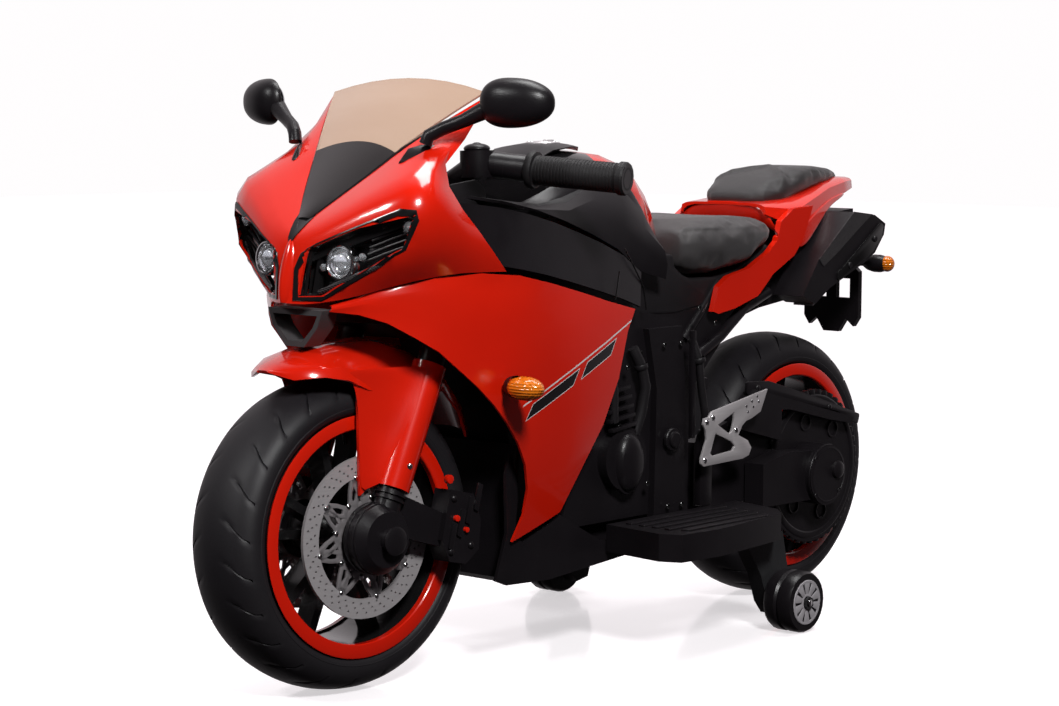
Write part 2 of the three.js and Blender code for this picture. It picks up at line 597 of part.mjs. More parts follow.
// ---------- wheels ----------
function tyre(y) {
  const p = [[RIM_R, -43], [136, -50], [147, -50], [158, -42], [166, -28], [170, -9], [170, 9],
    [166, 28], [158, 42], [147, 50], [136, 50], [RIM_R, 43], [RIM_R, 38], [146, 44], [153, 37],
    [160, 25], [164, 8], [164, -8], [160, -25], [153, -37], [146, -44], [RIM_R, -38]];
  return turned(p, y, TYRE_R, 36);
}
function rim(y) {
  const band = turned([[119, -46], [130.4, -46], [130.4, -36], [122, -26], [122, 26], [130.4, 36],
    [130.4, 46], [119, 46], [117, 28], [117, -28]], y, TYRE_R, 36);
  const hub = turned([[8.6, -50], [24, -50], [26, -30], [26, 30], [24, 50], [8.6, 50]], y, TYRE_R, 20);
  const spokes = [];
  for (let i = 0; i < 5; i++) {
    for (const side2 of [-1, 1]) {
      const g = new THREE.BoxGeometry(26, 10, 98);
      g.translate(0, 0, 70);
      g.rotateX((i * 2 * Math.PI) / 5 + side2 * 0.22);
      g.translate(0, y, TYRE_R);
      spokes.push(solid(g));
    }
  }
  return union(band, hub, ...spokes);
}
function disc(y) {
  const plate = turned([[30, 50.6], [88, 50.6], [88, 54.6], [30, 54.6]], y, TYRE_R, 36);
  const slots = [];
  for (let i = 0; i < 6; i++) {
    const a = (i * Math.PI) / 3 + 0.2;
    const g = new THREE.CylinderGeometry(12, 12, 20, 10).rotateZ(Math.PI / 2);
    g.translate(52, y + Math.sin(a) * 50, TYRE_R + Math.cos(a) * 50);
    slots.push(solid(g));
  }
  return slots.reduce((m, s) => m.subtract(s), plate);
}

// ---------- mirrors ----------
const HEAD_TURN = THREE.MathUtils.degToRad(20);
function mirrorHead() {
  const knuckle = bar([...MIRROR, 591], [...MIRROR, 604], 8.5, 16);
  const neck = [[101, -351, 600], [120, -339, 610], [140, -330, 620], [160, -322, 630]];
  const ring = ([x, y, z], r) => [0, 1, 2, 3, 4, 5, 6, 7].map((i) =>
    [x - 0.2 * r * Math.sin((i * Math.PI) / 4), y + r * Math.cos((i * Math.PI) / 4),
      z + r * Math.sin((i * Math.PI) / 4)]);
  const stalk = loft(neck.map((c, i) => ring(c, [6, 7, 8, 10][i])));
  const head = [[-42, 8, 10], [-33, 15, 19], [-18, 20, 24.5], [4, 22, 26.5], [24, 20, 24], [36, 14, 17],
    [42, 7, 9]];
  const egg = loft(head.map(([u, rw, rz]) => {
    const out = [];
    for (let i = 0; i < 12; i++) {
      const a = (i * Math.PI) / 6;
      const w = Math.cos(a) > 0 ? 6 * Math.cos(a) : rw * Math.cos(a);
      out.push([193 + u * Math.cos(HEAD_TURN) - w * Math.sin(HEAD_TURN),
        -310 + u * Math.sin(HEAD_TURN) + w * Math.cos(HEAD_TURN), 636 + rz * Math.sin(a)]);
    }
    return out;
  }));
  return union(knuckle, stalk, egg);
}

// ---------- assembly ----------
const root = new THREE.Group();
root.name = "ride_on_motorcycle";
const steering = new THREE.Group();
steering.name = "steering_group";
root.add(steering);

function add(group, name, m, colour, metal = 0, rough = 0.5) {
  const mat = new THREE.MeshStandardMaterial({ color: colour, metalness: metal, roughness: rough });
  const mesh = new THREE.Mesh(geometryOf(m), mat);
  mesh.name = name;
  group.add(mesh);
}
function both(group, name, m, ...rest) {
  add(group, name + "_left", m, ...rest);
  add(group, name + "_right", mirrored(m), ...rest);
}

const RED = 0xc81405;
const BLACK = 0x1a1a1c;
const SILVER = 0xb9bcc0;
const AMBER = 0xd97a14;

const body = bodyLeft();
both(root, "body", body, BLACK);
add(root, "steering_head", steeringHead(), SILVER, 1);
add(root, "upper_cowl", upperCowl(), RED, 0, 0.2);
add(root, "windscreen", windscreen(), 0xc9a98a, 0, 0.1);
both(root, "side_fairing", sideFairing(), RED, 0, 0.2);
both(root, "side_panel", sidePanel(), BLACK);
both(root, "tank_flank", tankFlank(), BLACK);
add(root, "belly_pan", bellyPan(), BLACK);
both(root, "headlight", lightCup(), BLACK);
both(root, "headlight_lens", lens(), 0xdfe6ea, 0, 0.1);
add(root, "nose_duct", noseDuct(), 0x3a3a3d);
add(root, "tank_cover", tankCover(), RED, 0, 0.2);
add(root, "fuel_cap", fuelCap(), SILVER, 1);
add(root, "seat", seat(), BLACK);
add(root, "tail_frame", tailFrame(), BLACK);
add(root, "tail_cowl", tailCowl(), RED, 0, 0.2);
add(root, "pillion_pad", pillionPad(), BLACK);
both(root, "exhaust", exhaust(), BLACK);
add(root, "licence_bracket", licenceBracket(), BLACK);
both(root, "rear_signal", rearSignal(), BLACK);
both(root, "front_signal", frontSignal(), AMBER);
add(root, "swing_arm", swingArm(), BLACK);
add(root, "gearbox", gearbox(), BLACK);
both(root, "foot_board", footBoard(), BLACK);
both(root, "heel_plate", heelPlate(), SILVER, 1);
both(root, "stabiliser_arm", stabiliserArm(), BLACK);
both(root, "stabiliser_wheel", stabiliserWheel(), BLACK);
both(root, "mirror_base", mirrorBase(), BLACK);
both(root, "mirror", mirrorHead(), BLACK);
add(root, "battery", box([-32, -100, 142], [32, 51, 236]), 0x2b2b30);
add(root, "dashboard", dashboard(), BLACK);
add(root, "start_button", startButton(), RED);
add(root, "direction_switch", directionSwitch(), SILVER);
add(root, "accelerator_pedal", pedal(), SILVER);

const axle = bar([-56.4, -AXLE_Y, TYRE_R], [60, -AXLE_Y, TYRE_R], 8, 16);
add(steering, "fork_left", fork().add(axle), BLACK);
add(steering, "fork_right", mirrored(fork()), BLACK);
add(steering, "fork_crown", forkCrown(), BLACK);
add(steering, "handlebar", handlebar(), BLACK);
add(steering, "front_fender", frontFender(), RED, 0, 0.2);
add(steering, "front_tyre", tyre(-AXLE_Y), BLACK);
add(steering, "front_rim", rim(-AXLE_Y), BLACK);
both(steering, "front_disc", disc(-AXLE_Y), SILVER, 1);
add(root, "rear_tyre", tyre(AXLE_Y), BLACK);
add(root, "rear_rim", rim(AXLE_Y), BLACK);

// The steering rests turned a little to the machine's right
const axis = V(0, Math.sin(RAKE), Math.cos(RAKE));
const through = V(0, -AXLE_Y, TYRE_R);
steering.quaternion.setFromAxisAngle(axis, REST_STEER);
steering.position.copy(through).sub(through.clone().applyQuaternion(steering.quaternion));

export default root;
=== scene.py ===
"""Looks of a child's ride-on motorcycle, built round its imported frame.

Shapes are given in millimetres and turned into metres when a piece is made.
"""
import math

import bmesh
import bpy
from mathutils import Matrix, Vector
from mathutils.bvhtree import BVHTree


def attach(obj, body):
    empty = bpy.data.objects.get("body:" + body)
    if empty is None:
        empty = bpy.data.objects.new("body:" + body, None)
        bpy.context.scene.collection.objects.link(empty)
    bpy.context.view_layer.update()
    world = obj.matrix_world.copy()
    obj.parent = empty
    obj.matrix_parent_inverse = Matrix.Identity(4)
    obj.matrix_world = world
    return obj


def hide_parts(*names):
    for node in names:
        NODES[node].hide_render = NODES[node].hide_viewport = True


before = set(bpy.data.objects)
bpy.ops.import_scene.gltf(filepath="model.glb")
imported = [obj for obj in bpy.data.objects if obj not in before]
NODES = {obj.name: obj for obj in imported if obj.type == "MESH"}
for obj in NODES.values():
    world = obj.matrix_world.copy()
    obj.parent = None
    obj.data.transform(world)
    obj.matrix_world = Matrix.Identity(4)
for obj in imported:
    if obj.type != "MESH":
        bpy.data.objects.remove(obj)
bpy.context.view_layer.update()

MM = 0.001
AXLE_Y = 392.0
TYRE_R = 170.0
RAKE = math.radians(24)
REST_STEER = math.radians(-4)
STEER_AXIS = Vector((0, math.sin(RAKE), math.cos(RAKE)))
HUB = Vector((0, -AXLE_Y, TYRE_R))
REAR = Vector((0, AXLE_Y, TYRE_R))
ACROSS = Vector((1, 0, 0))
TAU = 2 * math.pi
STEERED = (Matrix.Translation(HUB) @ Matrix.Rotation(REST_STEER, 4, STEER_AXIS)
           @ Matrix.Translation(-HUB))


# ---------------------------------------------------------------- finishes
class Wire:
    """A value in a node tree. Arithmetic on it adds Math nodes."""

    def __init__(self, tree, socket):
        self.tree = tree
        self.socket = socket

    def math(self, operation, other=0.0):
        return self.tree.node("Math", {"operation": operation}, (self, other))

    def __rsub__(self, other):
        return self.tree.node("Math", {"operation": "SUBTRACT"}, (other, self))

    def __abs__(self):
        return self.math("ABSOLUTE")


for sign, operation in (("add", "ADD"), ("sub", "SUBTRACT"), ("mul", "MULTIPLY"), ("pow", "POWER"),
                        ("gt", "GREATER_THAN"), ("lt", "LESS_THAN"), ("or", "MAXIMUM"),
                        ("and", "MULTIPLY")):
    setattr(Wire, "__" + sign + "__", lambda wire, other, done=operation: wire.math(done, other))


class Tree:
    """A node tree under construction, in a material or in the world."""

    def __init__(self, holder):
        holder.use_nodes = True
        self.tree = holder.node_tree
        self.tree.nodes.clear()

    def node(self, kind, settings, values=(), pick=0):
        """Adds a node: settings first, then its sockets' values or links."""
        made = self.tree.nodes.new("ShaderNode" + kind)
        for key, value in settings.items():
            setattr(made, key, value)
        pairs = values.items() if isinstance(values, dict) else enumerate(values)
        for key, value in pairs:
            if isinstance(value, Wire):
                self.tree.links.new(value.socket, made.inputs[key])
            else:
                made.inputs[key].default_value = value
        return Wire(self, made.outputs[pick])

    def blend(self, factor, a, b):
        return self.node("Mix", {"data_type": "RGBA"}, {0: factor, 6: a, 7: b}, 2)

    def close(self, kind, shader):
        """Leads a shader to the tree's output."""
        out = self.tree.nodes.new("ShaderNodeOutput" + kind)
        self.tree.links.new(shader.socket, out.inputs["Surface"])


class Finish(Tree):
    """A material with one Principled shader."""

    def __init__(self, name):
        self.material = bpy.data.materials.new(name)
        super().__init__(self.material)
        self.place = self.node("TexCoord", {}, {}, "Object")
        self.x, self.y, self.z = (self.node("SeparateXYZ", {}, [self.place], i) for i in range(3))

    def noise(self, scale, detail=3.0, rough=0.5, place=None):
        return self.node("TexNoise", {}, {"Vector": place or self.place, "Scale": scale,
                                          "Detail": detail, "Roughness": rough})

    def cells(self, scale, feature="F1"):
        return self.node("TexVoronoi", {"feature": feature},
                         {"Vector": self.place, "Scale": scale}, "Distance")

    def stretch(self, x, y, z):
        return self.node("Mapping", {}, {"Vector": self.place, "Scale": (x, y, z)})

    def bump(self, height, strength, distance=0.0005):
        return self.node("Bump", {}, {"Height": height, "Strength": strength,
                                      "Distance": distance})

    def finish(self, colour, rough, **more):
        """Closes the finish with one Principled shader."""
        values = {"Base Color": colour, "Roughness": rough}
        values.update({key.replace("_", " "): value for key, value in more.items()})
        self.close("Material", self.node("BsdfPrincipled", {}, values, "BSDF"))
        return self.material


def rgb(r, g, b):
    return (r, g, b, 1.0)


def glossy_shell(name, light, deep, decals=None):
    """Moulded gloss plastic under a clear coat, with faint orange peel and handling marks."""
    f = Finish(name)
    colour = f.blend(f.noise(7.0), light, deep)
    if decals:
        colour = decals(f, colour)
    peel = f.noise(420.0, 2.0) * 0.5 + f.noise(60.0, 2.0)
    smear = f.noise(26.0, 4.0) * 0.08
    return f.finish(colour, smear + 0.15, Coat_Weight=0.8, Coat_Roughness=0.04,
                    Normal=f.bump(peel, 0.10, 0.0004), Specular_IOR_Level=0.5)


def satin_shell(name, light, deep, rough=0.34, grain=0.25, size=900.0, coat=0.0):
    """Moulded satin plastic with a fine spark-eroded grain and rubbed patches."""
    f = Finish(name)
    rub = f.noise(14.0, 4.0, 0.6)
    colour = f.blend(rub, deep, light)
    texture = f.cells(size) + f.noise(size * 0.6, 2.0)
    return f.finish(colour, rub * 0.16 + rough - 0.08, Coat_Weight=coat, Coat_Roughness=0.15,
                    Specular_IOR_Level=0.30,
                    Normal=f.bump(texture, grain, 0.00025))


def metal(name, light, deep, rough=0.3, lines=(600.0, 30.0, 600.0), metallic=0.9):
    """Silvered metal with drawn lines and dull patches."""
    f = Finish(name)
    drawn = f.noise(1.0, 3.0, 0.6, f.stretch(*lines))
    dull = f.noise(30.0, 3.0)
    colour = f.blend(drawn, deep, light)
    return f.finish(colour, drawn * 0.15 + dull * 0.12 + rough - 0.1, Metallic=metallic,
                    Normal=f.bump(drawn, 0.08, 0.0002))


PER_METRE = 1000.0
RED_LIGHT = rgb(0.76, 0.016, 0.003)
RED_DEEP = rgb(0.66, 0.010, 0.002)


def flash_decals(f, colour):
    """A white coachline with two black flashes below it, towards the panel's rear tip."""
    along = f.y * PER_METRE
    rise = f.z * PER_METRE - (along + 243.0) * 0.404 - 303.0
    line = (abs(rise) < 1.0) & (along > -236.0) & (along < -34.0)
    lean = along - rise * 0.75
    band = (rise < -6.0) & (rise > -19.0)
    first = band & (lean > -214.0) & (lean < -134.0)
    second = band & (lean > -118.0) & (lean < -62.0)
    edge_band = (rise < -5.0) & (rise > -20.0)
    rim = edge_band & (((lean > -215.2) & (lean < -132.8)) | ((lean > -119.2) & (lean < -60.8)))
    colour = f.blend(rim | line, colour, rgb(0.75, 0.72, 0.72))
    return f.blend(first | second, colour, rgb(0.012, 0.010, 0.011))


def tank_two_tone(f, colour):
    """Black shoulders in front of a red rear hump, with two painted highlights on it: pale pink
    lines along its seams.
    """
    along, up = f.y * PER_METRE, f.z * PER_METRE
    black = (along + (up - 580.0) * 0.12) < -22.0
    # Painted highlights: thin pale pink lines where the hump's seams catch the light, not a paint
    # colour of their own.
    seam = abs(along - 30.0 - (580.0 - up) * 0.42) < 0.7
    fork = abs(along - 66.0 + (566.0 - up) * 0.55) < 0.7
    lines = (seam & (up < 578.0)) | (fork & (up > 528.0))
    return f.blend(black, f.blend(lines, colour, rgb(0.78, 0.62, 0.60)),
                   rgb(0.010, 0.009, 0.010))


RED = glossy_shell("red_gloss", RED_LIGHT, RED_DEEP)
RED_TANK = glossy_shell("red_gloss_tank", RED_LIGHT, RED_DEEP, tank_two_tone)
RED_MARKED = glossy_shell("red_gloss_marked", RED_LIGHT, RED_DEEP, flash_decals)
BLACK = satin_shell("black_satin", rgb(0.012, 0.010, 0.012), rgb(0.006, 0.005, 0.006))
BLACK_SOFT = satin_shell("black_matt", rgb(0.016, 0.014, 0.016), rgb(0.008, 0.007, 0.008), 0.5,
                         0.4, 700.0)
BLACK_GLOSS = satin_shell("black_gloss", rgb(0.012, 0.011, 0.012), rgb(0.006, 0.006, 0.006), 0.16,
                          0.06, 500.0, 0.4)
FRAME_PAINT = satin_shell("frame_paint", rgb(0.03, 0.03, 0.032), rgb(0.016, 0.016, 0.017), 0.3,
                          0.3, 400.0)
DUCT_GREY = satin_shell("duct_grey", rgb(0.075, 0.07, 0.072), rgb(0.045, 0.042, 0.044), 0.35)
SILVER = metal("silver_drawn", rgb(0.62, 0.59, 0.60), rgb(0.48, 0.45, 0.46), 0.34,
               metallic=0.45)
CHROME = metal("bright_chrome", rgb(0.92, 0.92, 0.93), rgb(0.8, 0.8, 0.82), 0.12,
               (200.0, 200.0, 200.0), 1.0)


def tyre_rubber():
    f = Finish("tyre_rubber")
    dust = f.noise(9.0, 5.0, 0.65)
    colour = f.blend(dust, rgb(0.007, 0.006, 0.008), rgb(0.017, 0.015, 0.017))
    grain = f.cells(1100.0) + f.noise(300.0)
    return f.finish(colour, dust * 0.18 + 0.42, Normal=f.bump(grain, 0.25, 0.0003),
                    Specular_IOR_Level=0.35)


def seat_vinyl(name, deep, light):
    f = Finish(name)
    pores = f.cells(620.0, "DISTANCE_TO_EDGE")
    folds = f.noise(120.0, 5.0, 0.6)
    worn = f.noise(12.0, 4.0, 0.6)
    colour = f.blend(worn, deep, light)
    height = pores.math("MINIMUM", 0.12) * 5.0 + folds * 0.6
    return f.finish(colour, worn * 0.15 + 0.46, Normal=f.bump(height, 0.45, 0.0005),
                    Sheen_Weight=0.15)


def amber_plastic():
    f = Finish("amber_plastic")
    ribs = (f.y * PER_METRE).math("PINGPONG", 1.6) + (f.z * PER_METRE).math("PINGPONG", 1.6)
    colour = f.blend(f.noise(60.0), rgb(0.80, 0.22, 0.01), rgb(0.62, 0.13, 0.006))
    return f.finish(colour, f.noise(90.0) * 0.08 + 0.1, Normal=f.bump(ribs, 0.5, 0.001),
                    Coat_Weight=0.6, Coat_Roughness=0.05)


def clear_plastic():
    f = Finish("clear_lens")
    colour = f.blend(f.noise(80.0), rgb(0.85, 0.87, 0.9), rgb(0.75, 0.77, 0.8))
    return f.finish(colour, f.noise(70.0) * 0.05 + 0.03, IOR=1.49, Transmission_Weight=0.85,
                    Coat_Weight=0.3, Coat_Roughness=0.02)


def screen_tint():
    """A bronze half-mirror screen whose foot is solid black under a bowed edge."""
    f = Finish("screen_tint")
    bow = f.z * PER_METRE - 594.0 + (f.x * PER_METRE) ** 2.0 * 0.0031
    black = bow < 0.0
    streak = f.noise(1.0, 4.0, 0.6, f.stretch(4.0, 14.0, 6.0))
    tint = f.blend(streak, rgb(0.60, 0.38, 0.25), rgb(0.78, 0.56, 0.42))
    colour = f.blend(black, tint, rgb(0.008, 0.006, 0.006))
    return f.finish(colour, black * 0.12 + 0.12, Metallic=(1.0 - black) * 0.35,
                    Alpha=black * 0.18 + 0.82, Coat_Weight=0.6, Coat_Roughness=0.05)


def weave():
    """Woven-fibre look: two crossed sets of fine bands."""
    f = Finish("fibre_weave")
    across = ((f.y + f.z) * PER_METRE).math("PINGPONG", 1.2)
    along = ((f.y - f.z) * PER_METRE).math("PINGPONG", 1.2)
    pattern = (across > along) * 0.6 + across * 0.3
    colour = f.blend(pattern, rgb(0.008, 0.008, 0.009), rgb(0.055, 0.050, 0.052))
    return f.finish(colour, pattern * 0.1 + 0.25, Coat_Weight=0.5, Coat_Roughness=0.1,
                    Normal=f.bump(pattern, 0.3, 0.0004))


def mirror_silver():
    f = Finish("mirror_silver")
    haze = f.noise(40.0, 4.0)
    return f.finish(f.blend(haze, rgb(0.82, 0.83, 0.85), rgb(0.88, 0.89, 0.9)),
                    haze * 0.05 + 0.02, Metallic=1.0)


TYRE = tyre_rubber()
WEAVE = weave()
MIRROR_SILVER = mirror_silver()
GRIP_RUBBER = satin_shell("grip_rubber", rgb(0.016, 0.015, 0.016), rgb(0.008, 0.007, 0.008), 0.55,
                          0.5, 800.0)
CARRIER_GREY = metal("carrier_grey", rgb(0.40, 0.37, 0.38), rgb(0.28, 0.26, 0.27), 0.3,
                     metallic=0.5)
CAP_GREY = satin_shell("cap_grey", rgb(0.42, 0.40, 0.42), rgb(0.34, 0.32, 0.34), 0.4, 0.2, 500.0)
SEAT_VINYL = seat_vinyl("seat_vinyl", rgb(0.020, 0.017, 0.018), rgb(0.036, 0.032, 0.033))
PAD_VINYL = seat_vinyl("pad_vinyl", rgb(0.008, 0.006, 0.007), rgb(0.015, 0.012, 0.013))
AMBER = amber_plastic()
CLEAR = clear_plastic()
SCREEN = screen_tint()


# ---------------------------------------------------------------- carried-over frame pieces
# Edges that bend by more degrees than SMOOTH stay sharp, and those over ROUNDED get a bevel.
SMOOTH = 32.0
ROUNDED = 30.0
# How close points are when they are taken for one: in millimetres, and in metres on the frame.
SAME_POINT = 0.01
SAME_CAD_POINT = 0.00002


def dress(finish, *names):
    """Gives frame pieces their finish, and shades their curves smooth up to real edges."""
    for name in names:
        piece = NODES[name]
        piece.data.materials.clear()
        piece.data.materials.append(finish)
        for face in piece.data.polygons:
            face.use_smooth = True
        weld = piece.modifiers.new("weld", "WELD")
        weld.merge_threshold = SAME_CAD_POINT
        edges = piece.modifiers.new("edges", "EDGE_SPLIT")
        edges.split_angle = math.radians(SMOOTH)


def sides(name):
    return name + "_left", name + "_right"


dress(RED, "upper_cowl", "tail_cowl", "front_fender")
dress(RED_TANK, "tank_cover")
dress(RED_MARKED, *sides("side_fairing"))
dress(BLACK, *sides("body"), *sides("side_panel"), *sides("tank_flank"), "belly_pan",
      "tail_frame", *sides("exhaust"), "licence_bracket", *sides("rear_signal"), "swing_arm",
      "gearbox", *sides("foot_board"), *sides("mirror_base"), *sides("mirror"), "dashboard",
      *sides("fork"), "handlebar", *sides("stabiliser_wheel"))
dress(BLACK_GLOSS, *sides("headlight"), "front_rim", "rear_rim")
dress(FRAME_PAINT, "steering_head", "fork_crown", *sides("stabiliser_arm"), "battery")
dress(DUCT_GREY, "nose_duct")
dress(SILVER, "fuel_cap", *sides("heel_plate"), *sides("front_disc"), "accelerator_pedal",
      "direction_switch")
dress(TYRE, "front_tyre", "rear_tyre")
dress(SEAT_VINYL, "seat", "pillion_pad")
dress(AMBER, *sides("front_signal"))
dress(CLEAR, *sides("headlight_lens"))
dress(SCREEN, "windscreen")
dress(RED, "start_button")


# ---------------------------------------------------------------- making pieces
STEERED_BODIES = ("steering", "front_wheel")


def make(name, bm, finish, body="frame", hides=(), slot_name=None, bevel=0.0, split=SMOOTH,
         subdivide=0, segments=2):
    """Turns a shape in millimetres into a piece that rides on a body."""
    bmesh.ops.remove_doubles(bm, verts=bm.verts, dist=SAME_POINT)
    bmesh.ops.recalc_face_normals(bm, faces=bm.faces)
    place = STEERED if body in STEERED_BODIES else Matrix.Identity(4)
    bm.transform(Matrix.Scale(MM, 4) @ place)
    mesh = bpy.data.meshes.new(name)
    bm.to_mesh(mesh)
    bm.free()
    for face in mesh.polygons:
        face.use_smooth = True
    mesh.materials.append(finish)
    made = bpy.data.objects.new(name, mesh)
    bpy.context.scene.collection.objects.link(made)
    if bevel:
        round_off = made.modifiers.new("round_off", "BEVEL")
        round_off.width = bevel * MM
        round_off.segments = segments
        round_off.limit_method = "ANGLE"
        round_off.angle_limit = math.radians(ROUNDED)
    if subdivide:
        finer = made.modifiers.new("finer", "SUBSURF")
        finer.levels = finer.render_levels = subdivide
    if split:
        edges = made.modifiers.new("edges", "EDGE_SPLIT")
        edges.split_angle = math.radians(split)
    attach(made, body)
    if hides:
        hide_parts(*hides)
    return made


def shape(build, *values):
    bm = bmesh.new()
    build(bm, *values)
    return bm


def single(build, finish=BLACK, **more):
    """Makes the one piece that is named after the function that builds it."""
    make(build.__name__, shape(build), finish, **more)


def pair(build, finish=BLACK, body="frame", hides=(), **more):
    """Makes a left piece and its mirror image, named after the function that builds the left."""
    for side in ("left", "right"):
        bm = shape(build)
        if side == "right":
            bmesh.ops.scale(bm, vec=(-1, 1, 1), verts=bm.verts)
            bmesh.ops.reverse_faces(bm, faces=bm.faces)
        hidden = [node + "_" + side for node in hides]
        make(build.__name__ + "_" + side, bm, finish, body.replace("SIDE", side), hidden, **more)


def facing(normal):
    return Vector(normal).to_track_quat("Z", "Y").to_matrix().to_4x4()


def chain(bm, points, closed=False):
    """Vertices at points and the edges that join them in turn."""
    verts = [bm.verts.new(p) for p in points]
    ends = verts[1:] + verts[:1] if closed else verts[1:]
    return verts, [bm.edges.new(two) for two in zip(verts, ends)]


def bridge(bm, rows, capped=False):
    """Faces between each row of vertices and the next, and over both ends if capped."""
    for a, b in zip(rows, rows[1:]):
        edges = {e for v in a + b for e in v.link_edges
                 if set(e.verts) <= set(a) or set(e.verts) <= set(b)}
        bmesh.ops.bridge_loops(bm, edges=list(edges))
    for row in (rows[0], rows[-1]) if capped else ():
        bmesh.ops.contextual_create(bm, geom=row)


def lathe(bm, profile, centre, axis=ACROSS, steps=64):
    """Spins a profile of (radius, distance along the axis) about a line through centre."""
    axis, centre = Vector(axis).normalized(), Vector(centre)
    out = Vector((0, 0, 1)) if abs(axis.z) < 0.9 else Vector((1, 0, 0))
    out = (out - axis * out.dot(axis)).normalized()
    verts, edges = chain(bm, [centre + out * r + axis * a for r, a in profile])
    bmesh.ops.spin(bm, geom=verts + edges, cent=centre, axis=axis, angle=TAU, steps=steps,
                   use_merge=True)


def rod(bm, start, end, r, seg=20, r2=None):
    start, end = Vector(start), Vector(end)
    place = Matrix.Translation((start + end) / 2) @ facing(end - start)
    return bmesh.ops.create_cone(bm, cap_ends=True, segments=seg, radius1=r,
                                 radius2=r if r2 is None else r2,
                                 depth=(end - start).length, matrix=place)["verts"]


def ball(bm, centre, radii, turn=None, seg=24):
    made = bmesh.ops.create_uvsphere(bm, u_segments=seg, v_segments=seg // 2, radius=1.0)["verts"]
    bmesh.ops.scale(bm, vec=radii, verts=made)
    if turn:
        bmesh.ops.rotate(bm, cent=(0, 0, 0), matrix=turn, verts=made)
    bmesh.ops.translate(bm, vec=centre, verts=made)
    return made


def bolt(bm, centre, normal, r=3.0, tall=1.6):
    """A domed screw or rivet head standing on a face."""
    profile = [(0, tall), (r * 0.45, tall * 0.92), (r * 0.8, tall * 0.6), (r, tall * 0.2),
               (r, -0.3)]
    lathe(bm, profile, centre, normal, 12)


def screw(bm, centre, normal, r=3.0, deep=1.4):
    """A recessed cross of a screw, as a raised rim round a sunk centre."""
    profile = [(0, -deep), (r * 0.55, -deep), (r * 0.6, 0.5), (r * 0.9, 0.7), (r, 0.3), (r, -0.4)]
    lathe(bm, profile, centre, normal, 12)


PLACES = {"x": lambda p, v: (v, p[0], p[1]), "y": lambda p, v: (p[0], v, p[1]),
          "z": lambda p, v: (p[0], p[1], v)}


def heads(bm, kind, x, places, *sizes):
    """Bolts or screws at places on an upright face at x."""
    for y, z in places:
        kind(bm, (x, y, z), ACROSS, *sizes)


def plate(bm, outlines, axis, low, high, corner=0.0):
    """A flat plate across an axis: the first outline with the others cut out of it."""
    place = PLACES[axis]
    edges = []
    for outline in outlines:
        edges += chain(bm, [place(p, low) for p in outline], True)[1]
    made = bmesh.ops.triangle_fill(bm, use_beauty=True, use_dissolve=True, edges=edges)["geom"]
    faces = [g for g in made if isinstance(g, bmesh.types.BMFace)]
    raised = bmesh.ops.extrude_face_region(bm, geom=faces)["geom"]
    tops = [g for g in raised if isinstance(g, bmesh.types.BMVert)]
    shift = Vector(place((0, 0), high - low))
    bmesh.ops.translate(bm, verts=tops, vec=shift)
    if corner:
        upright = [e for v in tops for e in v.link_edges
                   if (e.verts[0].co - e.verts[1].co).normalized().cross(shift.normalized()).length
                   < 1e-3]
        bmesh.ops.bevel(bm, geom=upright, offset=corner, segments=3, profile=0.5,
                        affect="EDGES", material=-1)
    return tops


def hoop(bm, centre, normal, r, seg=12):
    return bmesh.ops.create_circle(bm, cap_ends=False, radius=r, segments=seg,
                                   matrix=Matrix.Translation(centre) @ facing(normal))["verts"]


def pipe(bm, points, r, seg=12):
    """A round tube along points, closed at both ends."""
    points = [Vector(p) for p in points]
    rows = []
    for i, p in enumerate(points):
        ahead = points[min(i + 1, len(points) - 1)] - points[max(i - 1, 0)]
        rows.append(hoop(bm, p, ahead, r if isinstance(r, (int, float)) else r[i], seg))
    bridge(bm, rows, True)


def arm_round(bm, build, count, centre, axis=ACROSS, start=0.0):
    """Repeats a shape evenly round an axis."""
    for i in range(count):
        old = set(bm.verts)
        build(bm)
        fresh = [v for v in bm.verts if v not in old]
        bmesh.ops.rotate(bm, cent=centre, verts=fresh,
                         matrix=Matrix.Rotation(start + TAU * i / count, 3, axis))


# ---------------------------------------------------------------- wheels
TREAD_STEPS = 240
TREAD_PITCH = 10
SIPE_DEPTH = 3.0
SIPE_SLANT = math.radians(13)
TREAD = [(130.6, 43), (134, 48), (138, 49.6), (147, 49.4), (153, 47), (158.5, 42.5), (163, 36),
         (166, 28.5), (168, 20), (169.3, 12), (169.9, 5)]


def tyre(bm, centre):
    """A road tyre with curved slanting sipes on both shoulders."""
    profile = TREAD + [(r, -x) for r, x in reversed(TREAD)]
    lathe(bm, profile, centre, ACROSS, TREAD_STEPS)
    bmesh.ops.remove_doubles(bm, verts=bm.verts, dist=SAME_POINT)
    step = TAU / TREAD_STEPS
    for v in bm.verts:
        x, y, z = v.co - centre
        r, angle = math.hypot(y, z), math.atan2(z, y)
        column = round(angle / step) + (TREAD_PITCH // 2 if x < 0 else 0)
        phase = column % TREAD_PITCH
        reach = min(max((abs(x) - 20) / 5, 0), 1) * min(max((r - 152) / 5, 0), 1)
        if phase == 0:
            r -= SIPE_DEPTH * reach
        elif phase == 1:
            angle -= step * 0.62 * reach
        elif phase == TREAD_PITCH - 1:
            angle += step * 0.62 * reach
        angle += SIPE_SLANT * (abs(x) / 50) ** 1.6
        v.co = centre + Vector((x, r * math.cos(angle), r * math.sin(angle)))
    for groove in (0, 1):
        sign = 1 - 2 * groove
        lathe(bm, [(138.4, sign * 49.5), (139.4, sign * 50.0), (140.4, sign * 49.6)], centre,
              ACROSS, 96)


def rim_ring(bm, centre):
    for sign in (1, -1):
        lathe(bm, [(116.0, sign * 42), (116.2, sign * 48.2), (117.4, sign * 49.4),
                   (130.2, sign * 49.9), (131.6, sign * 49.2), (130.5, sign * 46.4)], centre,
              ACROSS, 96)


